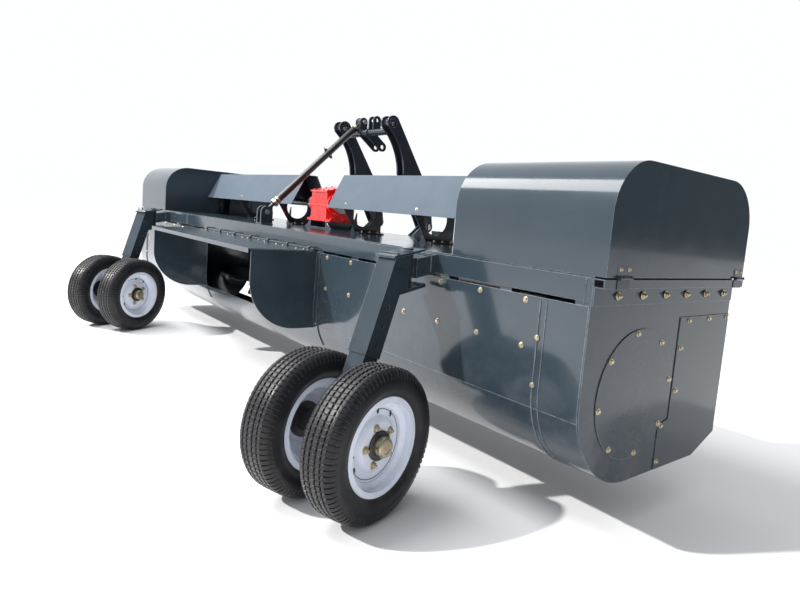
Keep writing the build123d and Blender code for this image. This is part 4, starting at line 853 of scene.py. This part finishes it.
def make_welds(materials):
    """Weld beads at the ends of the rear beam, round the stub arms and at the feet of the plates."""
    beads = Joined()

    def weld(first, last, radius):
        add_tube(beads, straight(first, last, WELD_STEP), radius, WELD_FACETS, WELD_RIPPLE)

    arm_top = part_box("stub_arms")[1][2]
    for side in SIDES:
        x, y = side * (HALF_LENGTH - BEAM_WELD_INSET), BEAM_REAR_Y - BEAM_WELD_PROUD
        weld(place(x, y, BEAM_WELD_FROM), place(x, y, BEAM_WELD_TO), BEAM_WELD_RADIUS)
        x, y = side * ARM_X, BEAM_REAR_Y - ARM_WELD_PROUD
        for edge in (-ARM_WELD_ASIDE, ARM_WELD_ASIDE):
            weld(*(place(x + edge, y, z) for z in ARM_WELD_ZS), ARM_WELD_RADIUS)
        z = arm_top - ARM_WELD_PROUD
        weld(*(place(x + edge, y, z) for edge in (-ARM_WELD_HALF, ARM_WELD_HALF)), ARM_WELD_RADIUS)
        for plate in PLATE_XS:
            for face in (-PLATE_WELD_ASIDE, PLATE_WELD_ASIDE):
                x = side * plate + face
                weld(*(place(x, y, PLATE_FOOT_TOP) for y in PLATE_WELD_YS), PLATE_WELD_RADIUS)
    emit(beads, "weld_beads", materials["paint"], "frame")


# Painted shade in the mouths of the square tubes that carry the hinges: its inner span, levels, depth and
# end faces
RAIL_SPAN = (0.005, 0.040)
RAIL_LEVELS = (0.9745, 0.9965)
RAIL_MOUTH_DEPTH = 0.001
# Each end of a tube: (place of its face, direction into the tube)
RAIL_ENDS = ((-0.0004, 1), (1.0464, -1))
# Sides of a block whose first four points are its front and whose last four are its back
BLOCK_FACES = ((0, 1, 2, 3), (7, 6, 5, 4), (0, 4, 5, 1), (1, 5, 6, 2), (2, 6, 7, 3), (3, 7, 4, 0))


def make_rail_ends(materials):
    """Painted shade: dark blocks in the mouths of the square tubes that carry the guards' hinges."""
    shade_blocks = Joined()
    low, high = RAIL_LEVELS
    for side in SIDES:
        near, far = (side * (HALF_LENGTH + reach) for reach in RAIL_SPAN)
        corners = ((near, low), (far, low), (far, high), (near, high))
        for y, inward in RAIL_ENDS:
            front = [place(x, y, z) for x, z in corners]
            back = [place(x, y + inward * RAIL_MOUTH_DEPTH, z) for x, z in corners]
            shade_blocks.put(front + back, BLOCK_FACES, Matrix.Identity(4))
    emit(shade_blocks, "rail_mouth_shade", materials["tube_mouth_shade"], "frame")


# Bolts along the flap's hinge in pairs, and down the flanges beside the mouth
FLAP_BOLT_PAIRS = 7
FLAP_BOLT_FIRST = -0.78
FLAP_BOLT_PITCH = 0.26
FLAP_BOLT_HALF = 0.045
FLAP_BOLT_Y = -0.060
FLAP_BOLT_BELOW = 0.0165
FLAP_BOLT_SIZE = 0.0065
MOUTH_BOLT_X = 0.900
MOUTH_BOLT_ZS = (0.872, 0.749, 0.626, 0.500)
MOUTH_FLANGE_DEPTH = 0.0475


def make_flap_bolts(materials):
    """Bolts along the hinge of the mouth's flap, and on the flanges beside the mouth."""
    flap, flanges = Joined(), Joined()
    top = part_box("mouth_flap")[1][2]
    flange_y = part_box("mouth_sides")[1][1] - REAR - MOUTH_FLANGE_DEPTH
    for i in range(FLAP_BOLT_PAIRS):
        x = FLAP_BOLT_FIRST + FLAP_BOLT_PITCH * i
        for step in (-FLAP_BOLT_HALF, FLAP_BOLT_HALF):
            spot = place(x + step, FLAP_BOLT_Y, top - FLAP_BOLT_BELOW)
            add_bolt(flap, spot, (0, 0, 1), size=FLAP_BOLT_SIZE)
    for side in SIDES:
        for z in MOUTH_BOLT_ZS:
            add_bolt(flanges, place(side * MOUTH_BOLT_X, flange_y, z), (0, -1, 0))
    emit(flap, "flap_bolts", materials["brass"], "mouth_flap")
    emit(flanges, "flange_bolts", materials["brass"], "frame")


# Nuts in pairs above each hinge of the guards over the end drives
HINGE_YS = (0.105, 0.985)
HINGE_BOLT_HALF = 0.024
HINGE_BOLT_Z = 1.037
HINGE_BOLT_INSET = 0.0195
HINGE_BOLT_STUD = 0.005


def make_hinge_bolts(name, side, materials):
    """Two nuts above each hinge of a guard over the end drives."""
    group = Joined()
    low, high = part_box("drive_hood_" + name)
    face = high[0] if side > 0 else low[0]
    for y in HINGE_YS:
        for step in (-HINGE_BOLT_HALF, HINGE_BOLT_HALF):
            spot = place(face - side * HINGE_BOLT_INSET, y + step, HINGE_BOLT_Z)
            add_bolt(group, spot, (side, 0, 0), stud=HINGE_BOLT_STUD)
    emit(group, "hinge_bolts_" + name, materials["brass"], "drive_hood_" + name)


bpy.context.scene.view_settings.view_transform = "Standard"
make_camera()
make_sky()
make_lights()
make_floor()
materials = make_materials()
dress_nodes(materials)
for side_name, _ in NAMED_SIDES:
    make_tyres(side_name, materials)
    make_wheel_fittings(side_name, materials)
make_body_bolts(materials)
make_seams(materials)
make_gearbox_fittings(materials)
make_guard_bolts(materials)
make_brace_fittings(materials)
make_welds(materials)
make_rail_ends(materials)
make_flap_bolts(materials)
for side_name, side in NAMED_SIDES:
    make_hinge_bolts(side_name, side, materials)
